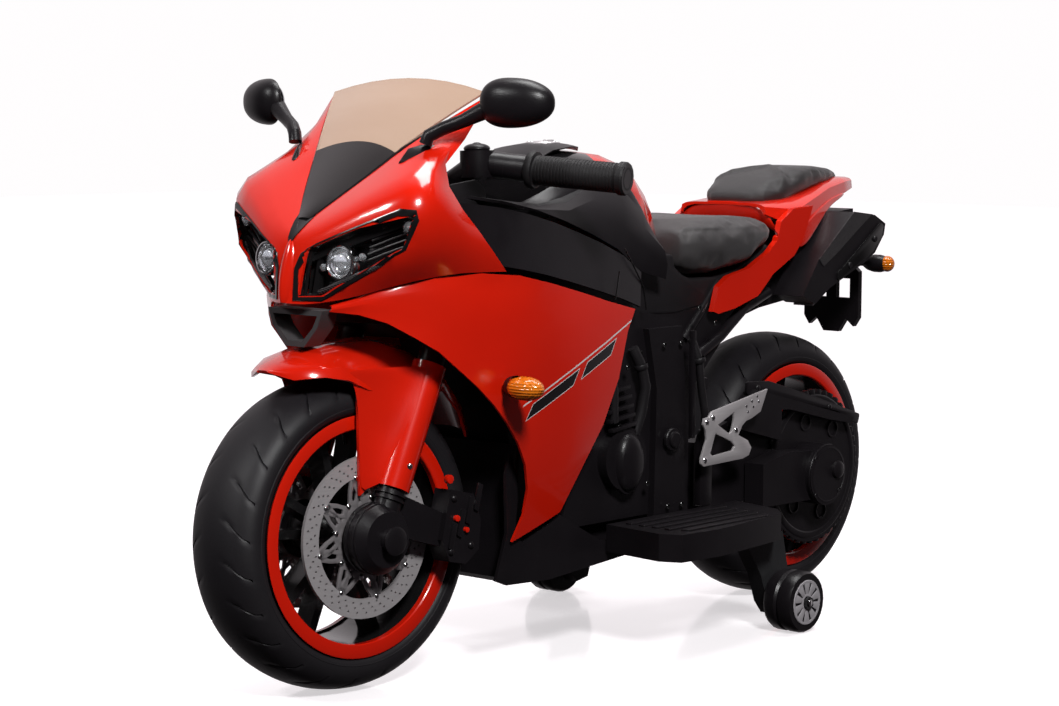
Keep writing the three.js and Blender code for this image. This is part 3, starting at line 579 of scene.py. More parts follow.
def wheel_detail(bm, centre):
    """Hub face on each side and the air valve."""
    for sign in (1, -1):
        lathe(bm, [(12, sign * 50.2), (21, sign * 50.2), (23.5, sign * 48.5), (25, sign * 44)],
              centre, ACROSS, 32)
    rod(bm, centre + Vector((20, 0, 118)), centre + Vector((24, 0, 98)), 2.6, 10)


DISC_COLUMNS = 120
HOLE_R = 1.55
DISC_THICK = 3.6


def disc_ring(bm, centre, x):
    """A drilled brake ring: three staggered rows of true holes."""
    start = len(bm.faces)
    lathe(bm, [(r, x) for r in (66.5, 69.5, 74.5, 79.5, 84.5, 88.0)], centre, ACROSS, DISC_COLUMNS)
    bmesh.ops.remove_doubles(bm, verts=bm.verts, dist=SAME_POINT)
    bm.faces.ensure_lookup_table()
    chosen = []
    for face in bm.faces:
        y, z = face.calc_center_median().yz - centre.yz
        row = round((math.hypot(y, z) - 72) / 5)
        column = math.floor(math.atan2(z, y) / (TAU / DISC_COLUMNS))
        if row in (0, 1, 2) and (column - row) % 3 == 0:
            chosen.append(face)
    bmesh.ops.inset_individual(bm, faces=chosen, thickness=0.5)
    rims = list({e for face in chosen for e in face.edges})
    bmesh.ops.subdivide_edges(bm, edges=rims, cuts=1)
    for face in chosen:
        middle = face.calc_center_median()
        for v in face.verts:
            v.co = middle + (v.co - middle).normalized() * HOLE_R
    bmesh.ops.delete(bm, geom=chosen, context="FACES_ONLY")
    walls = bmesh.ops.extrude_face_region(bm, geom=list(bm.faces))["geom"]
    bmesh.ops.translate(bm, verts=[g for g in walls if isinstance(g, bmesh.types.BMVert)],
                        vec=(DISC_THICK, 0, 0))


def carrier(bm, centre, x):
    """The disc's carrier: pairs of pierced arms that zigzag between hub and ring."""
    y, z = centre.y, centre.z

    def arm(inner):
        for turn in (1, -1):
            old = set(inner.verts)
            outline = [(y - 6.5, z + 35), (y + 6.5, z + 35), (y + 7.5, z + 52), (y + 6, z + 69),
                       (y - 6, z + 69), (y - 7.5, z + 52)]
            slot_hole = [(y - 2.2, z + 42), (y + 2.2, z + 42), (y + 3.0, z + 51), (y + 1.2, z + 60),
                         (y - 1.2, z + 60), (y - 3.0, z + 51)]
            plate(inner, [outline, slot_hole], "x", x + 0.6, x + 3.4)
            fresh = [v for v in inner.verts if v not in old]
            lean = Matrix.Rotation(turn * math.radians(-19), 3, ACROSS)
            bmesh.ops.rotate(inner, cent=(0, y, z + 66), verts=fresh, matrix=lean)

    arm_round(bm, arm, 8, centre, ACROSS, 0.2)
    lathe(bm, [(32, x + 0.8), (32, x + 3.2), (40, x + 3.2), (40, x + 0.8), (32, x + 0.8)], centre,
          ACROSS, 48)


def rivets(bm, centre, x):
    for r, offset in ((66.5, 0.2), (43, 0.2 + TAU / 16)):
        arm_round(bm, lambda inner, r=r: bolt(inner, centre + Vector((x, 0, r)),
                                              ACROSS * math.copysign(1, x), 3.6, 3.2),
                  8, centre, ACROSS, offset)


def wheels():
    for name, centre in (("front", HUB), ("rear", REAR)):
        body = name + "_wheel"
        make(name + "_road_tyre", shape(tyre, centre), TYRE, body, (name + "_tyre",), split=38)
        make(name + "_rim_ring", shape(rim_ring, centre), RED, body)
        make(name + "_hub_face", shape(wheel_detail, centre), BLACK_GLOSS, body, bevel=0.6)
    for side, x, rivet_x in (("left", 51.0, 53.6), ("right", -54.6, -56.8)):
        make("brake_ring_" + side, shape(disc_ring, HUB, x), SILVER, "front_wheel",
             ("front_disc_" + side,))
        make("disc_carrier_" + side, shape(carrier, HUB, x), CARRIER_GREY, "front_wheel", bevel=0.4)
        make("disc_rivets_" + side, shape(rivets, HUB, rivet_x), CHROME, "front_wheel")


# ---------------------------------------------------------------- headlamps and nose
LAMP = Vector((56, -433, 468))
FORWARD = Vector((0.10, -0.99, 0.06)).normalized()


def lamp_bezel(bm):
    """Bright bezel round the main lamp, with a stepped reflector behind its glass."""
    lathe(bm, [(15.2, -4), (15.4, 3.2), (16.6, 4.8), (18.2, 4.4), (18.8, 2.0), (18.8, -8)],
          LAMP, FORWARD, 48)
    lathe(bm, [(15.3, 0.5), (12.5, -2.5), (11.5, -2.0), (10.5, -6), (6, -9), (0, -10)],
          LAMP, FORWARD, 40)


def lamp_glass(bm):
    profile = [(15.0, 1.5), (13.5, 4.2), (10, 6.6), (5.5, 8.0), (0, 8.5)]
    lathe(bm, profile, LAMP, FORWARD, 40)
    lathe(bm, [(8.0, -3.0), (7.4, 0.0), (4.5, 2.6), (0, 3.6)], LAMP, FORWARD, 24)


def lamp_bulbs(bm):
    """Small round lamps inboard and outboard of the main lamp."""
    for at in ((33, -437, 462), (78, -424, 474)):
        ball(bm, at, (4.2, 4.2, 4.2), seg=14)


def lamp_vanes(bm):
    """Slanting slats across the outer half of the lamp."""
    for i in range(4):
        start = Vector((80 + i * 2.0, -421 + i * 1.2, 470 + i * 7.2))
        end = Vector((124 - i * 1.0, -402 + i * 1.6, 488 + i * 6.4))
        pipe(bm, [start, (start + end) / 2 + Vector((0, 0.8, 0.6)), end], 1.3, 8)


def lamp_corner(bm):
    """Small outer lamp in the upper corner."""
    ball(bm, (124, -402, 507), (7.5, 5.5, 8.5), Matrix.Rotation(0.5, 3, "Y"), 18)


def lamp_sill(bm):
    """Woven-look strip along the lamp's lower edge."""
    pipe(bm, [(36, -446.5, 436.5), (62, -437, 448), (96, -424, 464), (122, -407, 481)],
         [2.6, 3.0, 3.0, 2.2], 10)


# ---------------------------------------------------------------- grips, pedals, small parts
GRIP_IN = Vector((97.6, -175.4, 559.6))
GRIP_OUT = Vector((205, -135, 548))
BAR_IN = Vector((52, -216, 568))
BAR_OUT = Vector((97, -176, 560))


def grip_sleeve(bm):
    """Ribbed rubber grip with a flange inboard and a dished cap at its end."""
    axis = (GRIP_OUT - GRIP_IN).normalized()
    profile = [(13.0, -3), (20.5, -2.5), (21.5, 0), (21.5, 3), (20.5, 5.5), (16.6, 6.5)]
    for i in range(24):
        at = 8 + i * 3.95
        profile += [(16.2, at), (16.7, at + 0.6), (16.7, at + 2.9), (16.2, at + 3.4)]
    profile += [(17.2, 105), (18.6, 106.5), (18.6, 112.5), (17.2, 114.6), (10.5, 115.2),
                (9.5, 112.8), (5.0, 112.6), (4.2, 114.4), (0, 114.6)]
    lathe(bm, profile, GRIP_IN, axis, 40)


def bar_collars(bm):
    """Two clamp collars on the bar, and the domed cap with its bolt over the fork."""
    bar = BAR_OUT - BAR_IN
    for part in (0.42, 0.78):
        at = BAR_IN + bar * part
        lathe(bm, [(12.6, -5), (15.2, -4.6), (15.2, 4.6), (12.6, 5)], at, bar, 28)
    ball(bm, (52, -216, 584), (15, 15, 6), None, 20)
    bolt(bm, (52, -216, 588), (0, 0, 1), 6, 3)


def clamp_ribs(bm):
    """Two cross screws and a ring on the top clamp."""
    for s in (-1, 1):
        screw(bm, Vector((s * 14, -229, 545.2)), STEER_AXIS, 3.4)
    lathe(bm, [(24.4, -4), (26, -3), (26, 3), (24.4, 4)], HUB + STEER_AXIS * 404, STEER_AXIS, 40)


HEEL = [(240, 286), (226, 259), (207, 252), (197, 250), (189, 245), (181, 234), (200, 226),
        (208, 216), (203, 207), (190, 204), (112, 202), (107, 206), (108, 213), (118, 234),
        (116, 246), (111, 253), (113, 260), (122, 261), (128, 267)]
HEEL_UPPER = [(140, 250), (172, 263), (173, 256), (168, 240), (163, 237)]
HEEL_LOWER = [(135, 240), (168, 227), (174, 221), (170, 216), (130, 213), (125, 217)]


def heel_guard(bm):
    plate(bm, [HEEL, HEEL_UPPER, HEEL_LOWER], "x", 114.2, 117.6)


def heel_bolts(bm):
    heads(bm, bolt, 117.5, [(118, 255.5), (130, 260), (176, 241), (115, 209.5)], 3.8, 2.6)
    for i in range(3):
        for j in range(2):
            at = (117.5, 200 + i * 11 - j * 3, 261 + i * 5.4 + j * 7)
            ball(bm, at, (0.9, 2.2, 2.2), None, 10)


def foot_ribs(bm):
    """Five long ribs with rounded ends on the foot board."""
    for i in range(5):
        x = 118 + i * 19
        rib = [(x, -36 if i < 4 else -30), (x + 11, -38 if i < 4 else -26), (x + 11, 146 - i * 5),
               (x, 150 - i * 5)]
        plate(bm, [rib], "z", 149.4, 152.0, 2.5)


SMALL_HUB = Vector((0, 196, 37.3))


def hub_cap(bm):
    """Wheel cap: ten leaves between an inner and an outer ring, with a rounded lip."""
    y, z = SMALL_HUB.y, SMALL_HUB.z
    lathe(bm, [(26.5, 211.4), (27.5, 212.4), (26.5, 213.3), (25.2, 212.6)], SMALL_HUB, steps=40)

    def leaf(inner):
        outline = [(y - 2.4, z + 9), (y + 2.4, z + 9), (y + 5.7, z + 25.8), (y - 5.7, z + 25.8)]
        plate(inner, [outline], "x", 211.6, 212.9)

    arm_round(bm, leaf, 10, SMALL_HUB)
    for low, high, steps in ((7.5, 10.5, 24), (23.8, 26.4, 40)):
        profile = [(low, 211.6), (low, 213.0), (high, 213.0), (high, 211.6)]
        lathe(bm, profile, SMALL_HUB, steps=steps)


def cap_openings(bm):
    """The dark dish that shows between the cap's leaves."""
    lathe(bm, [(6.5, 211.8), (26, 212.0)], SMALL_HUB, steps=32)


def axle_nut(bm):
    """Six-sided nut with the domed end of the axle in it."""
    rod(bm, SMALL_HUB + ACROSS * 213.4, SMALL_HUB + ACROSS * 217, 6.4, 6)
    lathe(bm, [(0, 218.2), (3.2, 217.8), (3.4, 216.6)], SMALL_HUB, steps=12)


def chain_links(bm):
    """Chain links and bosses round the drive ring on the left of the rear wheel."""
    def link(inner):
        y, z = REAR.y, REAR.z
        outline = [(y - 4.6, z + 94), (y + 4.6, z + 94), (y + 3.4, z + 100.4), (y - 3.4, z + 100.4)]
        plate(inner, [outline], "x", 70.5, 78.5)

    arm_round(bm, link, 44, REAR)
    lathe(bm, [(84, 78.8), (86, 80.2), (92, 80.2), (94, 78.8)], REAR, ACROSS, 72)
    for i in range(6):
        turn = Matrix.Rotation(TAU * i / 6 + 0.3, 3, ACROSS)
        at = REAR + turn @ Vector((79, 0, 62))
        lathe(bm, [(9, -1), (9, 1.8), (11.5, 1.8), (11.5, -1)], at, ACROSS, 20)


def guard_bar(bm):
    """Flat guard that runs back over the drive ring, with a stepped end."""
    outline = [(240, 292), (286, 290), (400, 258), (488, 231), (484, 218), (452, 226), (440, 238),
               (396, 248), (300, 270), (240, 276)]
    plate(bm, [outline], "x", 82.0, 86.0, 3.0)
    heads(bm, bolt, 86.0, [(262, 283), (418, 246)], 4.2, 2.4)


def motor_case_detail(bm):
    """Stepped drum over the rear axle with its cap and three screws."""
    drum = Vector((0, 374, 165))
    lathe(bm, [(39.4, 112), (39.4, 114.5), (37, 117.0), (34, 117.4), (33, 116.4), (0, 116.4)],
          drum, ACROSS, 56)
    lathe(bm, [(0, 122.8), (8, 122.6), (11, 121), (11.6, 116)], Vector((0, 392, 170)), ACROSS, 28)
    heads(bm, screw, 117.2, [(346, 188), (347, 141), (398, 143)], 3.2)


# ---------------------------------------------------------------- engine side, panels
def engine_cover(bm):
    """Oval domed clutch cover with a flat rim."""
    profile = [(0, 11), (14, 10.4), (22, 8), (26, 3.6), (27, 0), (29.5, -0.4), (30.5, -3)]
    lathe(bm, profile, (104, -14, 219), ACROSS, 44)
    bmesh.ops.scale(bm, vec=(1, 0.86, 1.28), space=Matrix.Translation((-104, 14, -219)),
                    verts=bm.verts)


def engine_plugs(bm):
    lathe(bm, [(0, 5), (8, 5), (9.5, 4), (10, 1.6), (13, 1.4), (14, 0), (14, -3)],
          (105.4, 68, 238), ACROSS, 32)
    lathe(bm, [(0, 4), (7, 3.6), (8.5, 0), (8.5, -3)], (103.6, 128, 300), ACROSS, 24)


def engine_hoses(bm):
    """Rubber hoses that run down behind the fairing's rear edge."""
    pipe(bm, [(100, -70, 362), (105, -52, 338), (106, -44, 306), (103, -40, 268)], 5.5, 14)
    pipe(bm, [(101, -4, 352), (106, 6, 330), (106, 14, 306), (102, 12, 276), (98, 4, 250)], 6.5, 14)
    pipe(bm, [(100, 108, 356), (106, 116, 330), (106, 120, 300), (102, 134, 262), (96, 140, 236)],
         5.0, 14)
    for y, z in ((-52, 338), (6, 330), (116, 330)):
        lathe(bm, [(7.6, -3), (8.2, -2), (8.2, 2), (7.6, 3)], (105.6, y, z), (0.05, 0.25, -1), 24)


def engine_fins(bm):
    for i in range(5):
        y = -58 + i * 3.0
        plate(bm, [[(y, 300 - i * 11), (y + 44, 306 - i * 11), (y + 44, 310 - i * 11),
                    (y, 304 - i * 11)]], "x", 99, 107)
    plate(bm, [[(104, 236), (110, 236), (110, 366), (104, 366)]], "x", 100, 106, 1.5)
    plate(bm, [[(128, 150), (150, 150), (150, 236), (134, 244), (128, 230)]], "x", 92, 101, 3)


def panel_screws(bm):
    places = [(-16, 330), (8, 345), (-30, 262), (22, 190), (150, 372), (118, 392), (52, 352),
              (84, 352), (62, 158), (88, 158)]
    heads(bm, screw, 104.3, places, 3.4)


def fender_screws(bm):
    for leg in (1, -1):
        bolt(bm, (leg * 90.8, -360, 246), (leg, -0.3, 0), 3.4, 2.2)


def caliper_ribs(bm):
    """Four slanting ribs and four bolts on the brake caliper."""
    for i in range(4):
        y, z = -303 + i * 13, 150 + i * 13
        plate(bm, [[(y, z), (y + 6, z - 3), (y + 14, z + 26), (y + 8, z + 29)]], "x", 85.6, 89.0, 1)
    heads(bm, bolt, 86, [(-298, 146), (-268, 150), (-262, 196), (-292, 204)], 4.4, 3.4)


def caliper_pins(bm):
    for y, z, r in ((-290, 182, 3.6), (-276, 168, 3.0), (-300, 226, 5.0)):
        rod(bm, (84, y, z), (90.2, y, z), r, 14)


def fork_collars(bm):
    """Two collars on the fork leg, the axle's end cap and two bands on the hub's drum."""
    for s in (44, 50):
        at = HUB + Vector((72, 0, 0)) + STEER_AXIS * s
        lathe(bm, [(15.2, -1.8), (17.6, -1.4), (17.6, 1.4), (15.2, 1.8)], at, STEER_AXIS, 32)
    lathe(bm, [(14.5, 101), (15.6, 102.6), (13, 104), (4, 104.4), (0, 104.4)], HUB, ACROSS, 32)
    lathe(bm, [(38.2, 62), (39.0, 63), (39.0, 66), (38.2, 67)], HUB, ACROSS, 56)
    lathe(bm, [(38.2, 72), (39.0, 73), (39.0, 76), (38.2, 77)], HUB, ACROSS, 56)


def indicator_socket(bm):
    """Dark socket and stalk of the front indicator."""
    lathe(bm, [(8, -10), (11.0, -6), (12.2, 0), (12.4, 3)], (151, -266, 331), (1, -0.2, 0), 28)


def rear_indicator_lens(bm):
    ball(bm, (102.5, 521, 428), (9.5, 10.4, 10.6), None, 20)


def seat_base(bm):
    """Closed black moulding that carries the saddle and fills the gap behind the tank."""
    outline = [(30, 386), (30, 455), (60, 460), (105, 456), (109, 441), (122, 432), (140, 425.5),
               (180, 425.5), (234, 434), (274, 450), (296, 462), (302, 450), (250, 410), (180, 392),
               (110, 384)]
    plate(bm, [outline], "x", -74, 74)


def pedal_ribs(bm):
    """Rubber bars across the accelerator pedal."""
    for i in range(5):
        y = -22 + i * 16
        z = 171 - (y + 30) * 14 / 86
        plate(bm, [[(y, z - 1), (y + 7, z - 2.1), (y + 7, z + 0.8), (y, z + 1.9)]], "x", -181, -129)


def seat_stays(bm):
    """Seat stays below the saddle: two bent round tubes."""
    pipe(bm, [(72, 128, 352), (72, 168, 392), (70, 196, 420)], 6.0, 12)
    pipe(bm, [(76, 148, 330), (76, 196, 352), (72, 250, 384), (66, 306, 400)], 7.0, 12)


def silencer_plate(bm):
    """Glossy side plate of the silencer."""
    outline = [(392, 412), (470, 446), (490, 464), (494, 480), (486, 484), (404, 430), (392, 424)]
    plate(bm, [outline], "x", 112.2, 114.2, 3.0)


def silencer_bolts(bm):
    for y, z in ((418, 431), (474, 463)):
        lathe(bm, [(0, 2.0), (3.4, 2.0), (4.4, 0.6), (4.6, -1)], (114.0, y, z), ACROSS, 14)


def silencer_strip(bm):
    """Pale heat strip under the silencer."""
    plate(bm, [[(352, 384), (380, 402.4), (452, 430.4), (479, 443.4), (480, 441.2), (452, 428.2),
                (380, 400.2), (352, 381.8)]], "x", 74, 104)


def silencer_weave(bm):
    plate(bm, [[(352, 441.5), (428, 499.5), (470, 495), (440, 478), (392, 448), (362, 432)]], "x",
          112.1, 112.9)


def tank_crown(bm):
    """Black centre cover over the front of the tank."""
    rows = [(-112, 556, 30), (-104, 578, 40), (-84, 588.5, 46), (-50, 592.2, 44), (-26, 590, 34),
            (-10, 584.5, 20)]
    loops = []
    for y, z, half in rows:
        loop = []
        for i in range(9):
            t = i / 4 - 1
            loop.append((half * t, y, z - 5.5 * t * t * (half / 46) - 0.6))
        loops.append(chain(bm, loop)[0])
    bridge(bm, loops)
    bmesh.ops.solidify(bm, geom=list(bm.faces), thickness=1.6)


def filler_lid(bm):
    """Silver filler cap: a ring, a flat lid and its hinge."""
    centre = (0, -50, 588)
    lathe(bm, [(20.4, -4), (20.4, 2.0), (19.4, 3.0), (15.0, 3.0), (14.4, 2.2), (13.6, 3.6),
               (4, 4.2), (0, 4.2)], centre, (0, 0, 1), 48)
    plate(bm, [[(-3, -47), (3, -47), (3, -33), (-3, -33)]], "z", 590, 593.4, 1.0)


def filler_screws(bm):
    for i in range(6):
        a = TAU * i / 6 + 0.4
        bolt(bm, (17.3 * math.cos(a), -50 + 17.3 * math.sin(a), 590.8), (0, 0, 1), 1.7, 1.2)


MIRROR_HEAD = Vector((193, -310, 636))
MIRROR_TURN = Matrix.Rotation(math.radians(20), 3, "Z")


def mirror_glass(bm):
    """Silvered glass on the rider's side of the mirror head."""
    made = bmesh.ops.create_cone(bm, cap_ends=True, segments=40, radius1=1.0, radius2=1.04,
                                 depth=1.6)["verts"]
    bmesh.ops.scale(bm, vec=(36, 21, 1), verts=made)
    bmesh.ops.rotate(bm, cent=(0, 0, 0), verts=made, matrix=Matrix.Rotation(math.pi / 2, 3, "X"))
    bmesh.ops.rotate(bm, cent=(0, 0, 0), verts=made, matrix=MIRROR_TURN)
    bmesh.ops.translate(bm, verts=made, vec=MIRROR_HEAD + MIRROR_TURN @ Vector((0, 6.8, 0)))


def dash_liner(bm):
    """Dark inner wall between the cowl and the dashboard."""
    plate(bm, [[(-304, 506), (-304, 548), (-262, 553), (-248, 542), (-244, 510)]], "x", 88, 91, 3)


def dash_dials(bm):
    """Round dial with a needle on the dashboard, and a ring round the start button."""
    normal = Vector((0, 0.534, 0.845))
    dial, button = Vector((-30, -281, 559.5)), Vector((34, -281, 559.5))
    lathe(bm, [(0, 1.0), (14, 1.0), (15.5, 2.4), (17.5, 2.2), (18, 0)], dial, normal, 36)
    lathe(bm, [(7.6, 0), (7.6, 2.2), (9.0, 2.8), (11.0, 2.2), (11.6, 0)], button, normal, 32)
    rod(bm, dial + normal * 1.8, dial + normal * 1.8 + Vector((9, 5.9, -3.7)), 0.8, 8, 0.3)


def build_small_parts():
    pair(lamp_bezel, CHROME)
    pair(lamp_glass, CLEAR, hides=["headlight_lens"])
    pair(lamp_bulbs, CLEAR)
    pair(lamp_vanes)
    pair(lamp_corner, CLEAR)
    pair(lamp_sill, WEAVE)
    pair(grip_sleeve, GRIP_RUBBER, "steering")
    pair(bar_collars, body="steering")
    single(clamp_ribs, body="steering")
    pair(heel_guard, SILVER, hides=["heel_plate"], bevel=0.5)
    pair(heel_bolts, CHROME)
    pair(foot_ribs, bevel=0.5)
    pair(cap_openings, BLACK_SOFT, "stabiliser_SIDE")
    pair(hub_cap, CAP_GREY, "stabiliser_SIDE", bevel=0.3)
    pair(axle_nut, CHROME, bevel=0.4)
    single(chain_links, bevel=0.5)
    single(guard_bar, bevel=0.5)
    single(motor_case_detail)
    pair(engine_cover)
    pair(engine_plugs)
    pair(engine_hoses, BLACK_SOFT)
    pair(engine_fins, bevel=0.6)
    pair(panel_screws, BLACK_GLOSS)
    single(fender_screws, CHROME, body="steering")
    pair(caliper_ribs, body="steering", bevel=0.6)
    pair(caliper_pins, RED, "steering", bevel=0.5)
    pair(fork_collars, body="steering")
    pair(indicator_socket)
    pair(rear_indicator_lens, AMBER)
    single(seat_base, BLACK_SOFT, bevel=4.0, segments=3)
    single(pedal_ribs, GRIP_RUBBER, body="pedal", bevel=0.5)
    pair(seat_stays)
    pair(silencer_plate, BLACK_GLOSS, bevel=0.5)
    pair(silencer_bolts)
    pair(silencer_strip, SILVER)
    pair(silencer_weave, WEAVE)
    single(tank_crown)
    single(filler_lid, SILVER, hides=["fuel_cap"], bevel=0.3)
    single(filler_screws, CHROME)
    pair(mirror_glass, MIRROR_SILVER, "mirror_SIDE")
    pair(dash_liner, BLACK_SOFT, bevel=0.5)
    single(dash_dials, BLACK_GLOSS)


# ---------------------------------------------------------------- skins over the frame
def skin(bm, rows, thickness=1.6):
    """A thin moulded wall through rows of points."""
    old = set(bm.verts)
    bridge(bm, [chain(bm, row)[0] for row in rows])
    fresh = list({f for v in bm.verts if v not in old for f in v.link_faces})
    bmesh.ops.recalc_face_normals(bm, faces=fresh)
    bmesh.ops.solidify(bm, geom=fresh, thickness=thickness)


def between(a, b, count):
    """Rows of points from one row to another."""
    return [[tuple(Vector(p).lerp(Vector(q), i / (count - 1))) for p, q in zip(a, b)]
            for i in range(count)]


def fender_cheek(bm):
    """Red skin that carries the fender's side down over the fork leg to a point."""
    rows = []
    for z, front, low in ((352, -424, 0), (340, -412, 0), (320, -406, 0), (290, -404.4, 0),
                          (255, -404.4, 0), (225, -404.4, 10)):
        leg = -392 + math.tan(RAKE) * (z + low - 170)
        rows.append([(60.2, front, z - 8 if low else z), (63.5, front + (leg - 14 - front) * 0.36,
                                                          z - 2 if low else z),
                     (74.5, front + (leg - 14 - front) * 0.82, z + 5 if low else z),
                     (86.5, leg - 14.6, z + 9 if low else z)])
    skin(bm, rows, 1.4)


def nose_beak(bm):
    """Ridge down the middle of the nose, from the screen's tip to the chin."""
    rows = []
    for z, half, proud in ((492, 3, 1.6), (484, 7, 3.4), (474, 10, 4.8), (460, 11, 5.4),
                           (440, 10, 5.4), (424, 8, 4.0)):
        rows.append([(x * half, nose_front(x * half, z) - (proud if abs(x) < 0.5 else -0.8), z)
                     for x in (-1.0, -0.4, 0.0, 0.4, 1.0)])
    skin(bm, rows, 1.2)


def screen_foot(bm):
    """Black arrowhead that carries the screen's foot down onto the nose."""
    rows = []
    for z, half in ((518, 13.5), (510, 11.0), (502, 8.0), (494, 4.6), (486, 0.6)):
        across = [x * half for x in (-1.0, -0.5, 0.0, 0.5, 1.0)]
        rows.append([(x, nose_front(x, z) - 1.8, z) for x in across])
    skin(bm, rows, 1.4)


def cowl_front(x, z, missed):
    """How far forward the cowl's skin is at a place seen from the front."""
    hit = COWL_TREE.ray_cast(Vector((x, -700, z)) * MM, Vector((0, 1, 0)))[0]
    return missed if hit is None else min(hit.y / MM, missed)


def nose_front(x, z):
    """The front of the cowl on its middle line, and of the screen's foot above it."""
    return cowl_front(x, z, -443.0 + max(z - 502.0, 0.0) * 1.07)


def tree_of(name):
    bm = bmesh.new()
    bm.from_mesh(NODES[name].data)
    made = BVHTree.FromBMesh(bm)
    bm.free()
    return made


COWL_TREE = tree_of("upper_cowl")
LAMP_EDGE = [(26, -446, 481), (82, -425, 505), (138, -399, 519), (126, -398, 485),
             (40, -434, 433), (17, -448, 432)]


def lamp_bowl(bm):
    """Dark recess behind the whole lamp opening."""
    top = [(16, -436, 484), (50, -420, 496), (88, -405, 510), (120, -391, 518), (142, -386, 524)]
    low = [(10, -438, 426), (38, -420, 430), (76, -404, 452), (108, -388, 470), (134, -386, 486)]
    skin(bm, between(top, low, 4), 1.0)


def lamp_surround(bm):
    """Black bead round the lamp opening."""
    edge = [Vector(p) for p in LAMP_EDGE]
    for a, b in zip(edge, edge[1:] + edge[:1]):
        pipe(bm, [a - Vector((0, 1.0, 0)), (a + b) / 2 - Vector((0, 2.0, 0)),
                  b - Vector((0, 1.0, 0))], 2.3, 10)
    for p in edge:
        ball(bm, p - Vector((0, 1.0, 0)), (2.3, 2.3, 2.3), None, 10)


LAMP_LIP = [(12, 427), (12, 462), (18, 477), (36, 488), (84, 509), (126, 526.5), (139, 525),
            (142, 514), (128, 483), (90, 457), (40, 427)]
LAMP_MOUTH = [(17, 431), (17, 460), (23, 468), (40, 476), (86, 494), (122, 508), (132, 509),
              (134, 505), (122, 485), (88, 461), (42, 432)]


def lamp_lip(bm):
    """Black moulded lip that lies on the cowl round the lamp and turns into its opening."""
    def ring(corners):
        points = [Vector(p) for p in corners]
        return [a.lerp(b, i / 6) for a, b in zip(points, points[1:] + points[:1]) for i in range(6)]

    rows = []
    for inward, proud in ((0.0, 1.0), (0.12, 1.6), (0.4, 1.5), (0.7, 1.4), (1.0, 1.2),
                          (1.12, -7.0)):
        row = []
        for outer, inner in zip(ring(LAMP_LIP), ring(LAMP_MOUTH)):
            at = outer.lerp(inner, inward)
            row.append((at.x, cowl_front(at.x, at.y, -452.0 + 0.40 * at.x) - proud, at.y))
        rows.append(row + row[:1])
    skin(bm, rows, 0.8)


def lamp_dish(bm):
    """Bright dish behind the small outer lamp."""
    lathe(bm, [(0, -3), (4, -2.4), (7, 1), (7.6, 2.4)], (124, -399, 507), (0.45, -0.87, 0.1), 24)


SCREEN_SIDE = [(1.5, -443, 502), (28, -406, 536.5), (51.5, -371, 567.5), (64, -351, 586.5),
               (90, -313, 614), (115.6, -275.6, 640.6)]


def screen_bead(bm):
    pipe(bm, SCREEN_SIDE, 1.5, 10)


def mirror_shell(bm):
    """Mirror head: full towards the front, flat towards the rider, on a bent stalk."""
    made = bmesh.ops.create_uvsphere(bm, u_segments=48, v_segments=28, radius=1.0)["verts"]
    for v in made:
        x, y, z = v.co
        square = Vector((math.copysign(abs(x) ** 0.86, x), y, math.copysign(abs(z) ** 0.84, z)))
        v.co = Vector((square.x * 42, y * (21.5 if y < 0 else 6.0), square.z * (26 - 4 * x)))
    bmesh.ops.rotate(bm, cent=(0, 0, 0), matrix=MIRROR_TURN, verts=made)
    bmesh.ops.translate(bm, vec=MIRROR_HEAD, verts=made)
    pipe(bm, [(100, -352, 592), (103, -350, 601), (116, -341, 609), (136, -332, 617),
              (156, -324, 627), (170, -318, 632)], [7.4, 7.4, 7.2, 7.4, 9.5, 12.0], 20)


def mirror_boot(bm):
    """Wedge-shaped foot of the mirror on the cowl."""
    points = [(74, -373, 560), (90, -358, 556), (114, -338, 562), (113, -331, 586),
              (106, -338, 592), (91, -349, 592), (84, -362, 588), (82, -374, 574),
              (104, -358, 570), (112, -346, 580)]
    verts = [bm.verts.new(p) for p in points]
    bmesh.ops.convex_hull(bm, input=verts)


def bar_sleeve(bm):
    """Wider sleeve on the bar between its collars."""
    profile = [(12.7, 12), (14.6, 14), (14.9, 20), (14.9, 52), (14.2, 60)]
    lathe(bm, profile, BAR_IN, BAR_OUT - BAR_IN, 32)


def tank_shoulder(bm):
    """Black skin between the flank's top edge and the tank."""
    out = [(67.6, -232, 514.6), (67.6, -190, 516.6), (67.6, -140, 518.6), (71.6, -100, 526.8),
           (77.6, -50, 542.8), (82.6, -10, 538.8), (87.6, 20, 512.8), (91.6, 48, 474.8)]
    inner = [(46, -232, 515), (46, -190, 519), (48, -140, 522), (60, -100, 545), (70, -50, 562),
             (75, -10, 560), (79, 20, 538), (84, 48, 492)]
    skin(bm, between(out, inner, 3), 1.2)


def tail_cheek(bm):
    """Red side wall between the tail's rim and the fin that runs down beside the saddle."""
    top = [(78, 312, 494), (82, 322, 490), (86, 348, 478), (81, 376, 491), (75, 400, 501.5),
           (67, 430, 510), (61, 450, 515), (54, 480, 519), (47, 500, 521.5)]
    low = [(84, 300, 458), (86.5, 326, 462), (87.5, 350, 452), (83, 376, 466), (77, 400, 481),
           (69, 430, 498), (62, 450, 506), (54.5, 480, 513), (47.5, 500, 518)]
    skin(bm, between(top, low, 4), 1.6)


def tail_apron(bm):
    """Red wall that closes the tail's front edge down to the saddle."""
    rows = []
    for drop, y, spread in ((0, 299, 0), (6, 300.5, 3), (14, 303, 8), (24, 309, 10)):
        row = []
        for i in range(13):
            t = i / 6 - 1
            row.append(((68 + spread) * t, y + 6 * t * t, 513.5 - 16 * t * t * abs(t) - drop))
        rows.append(row)
    skin(bm, rows, 1.6)


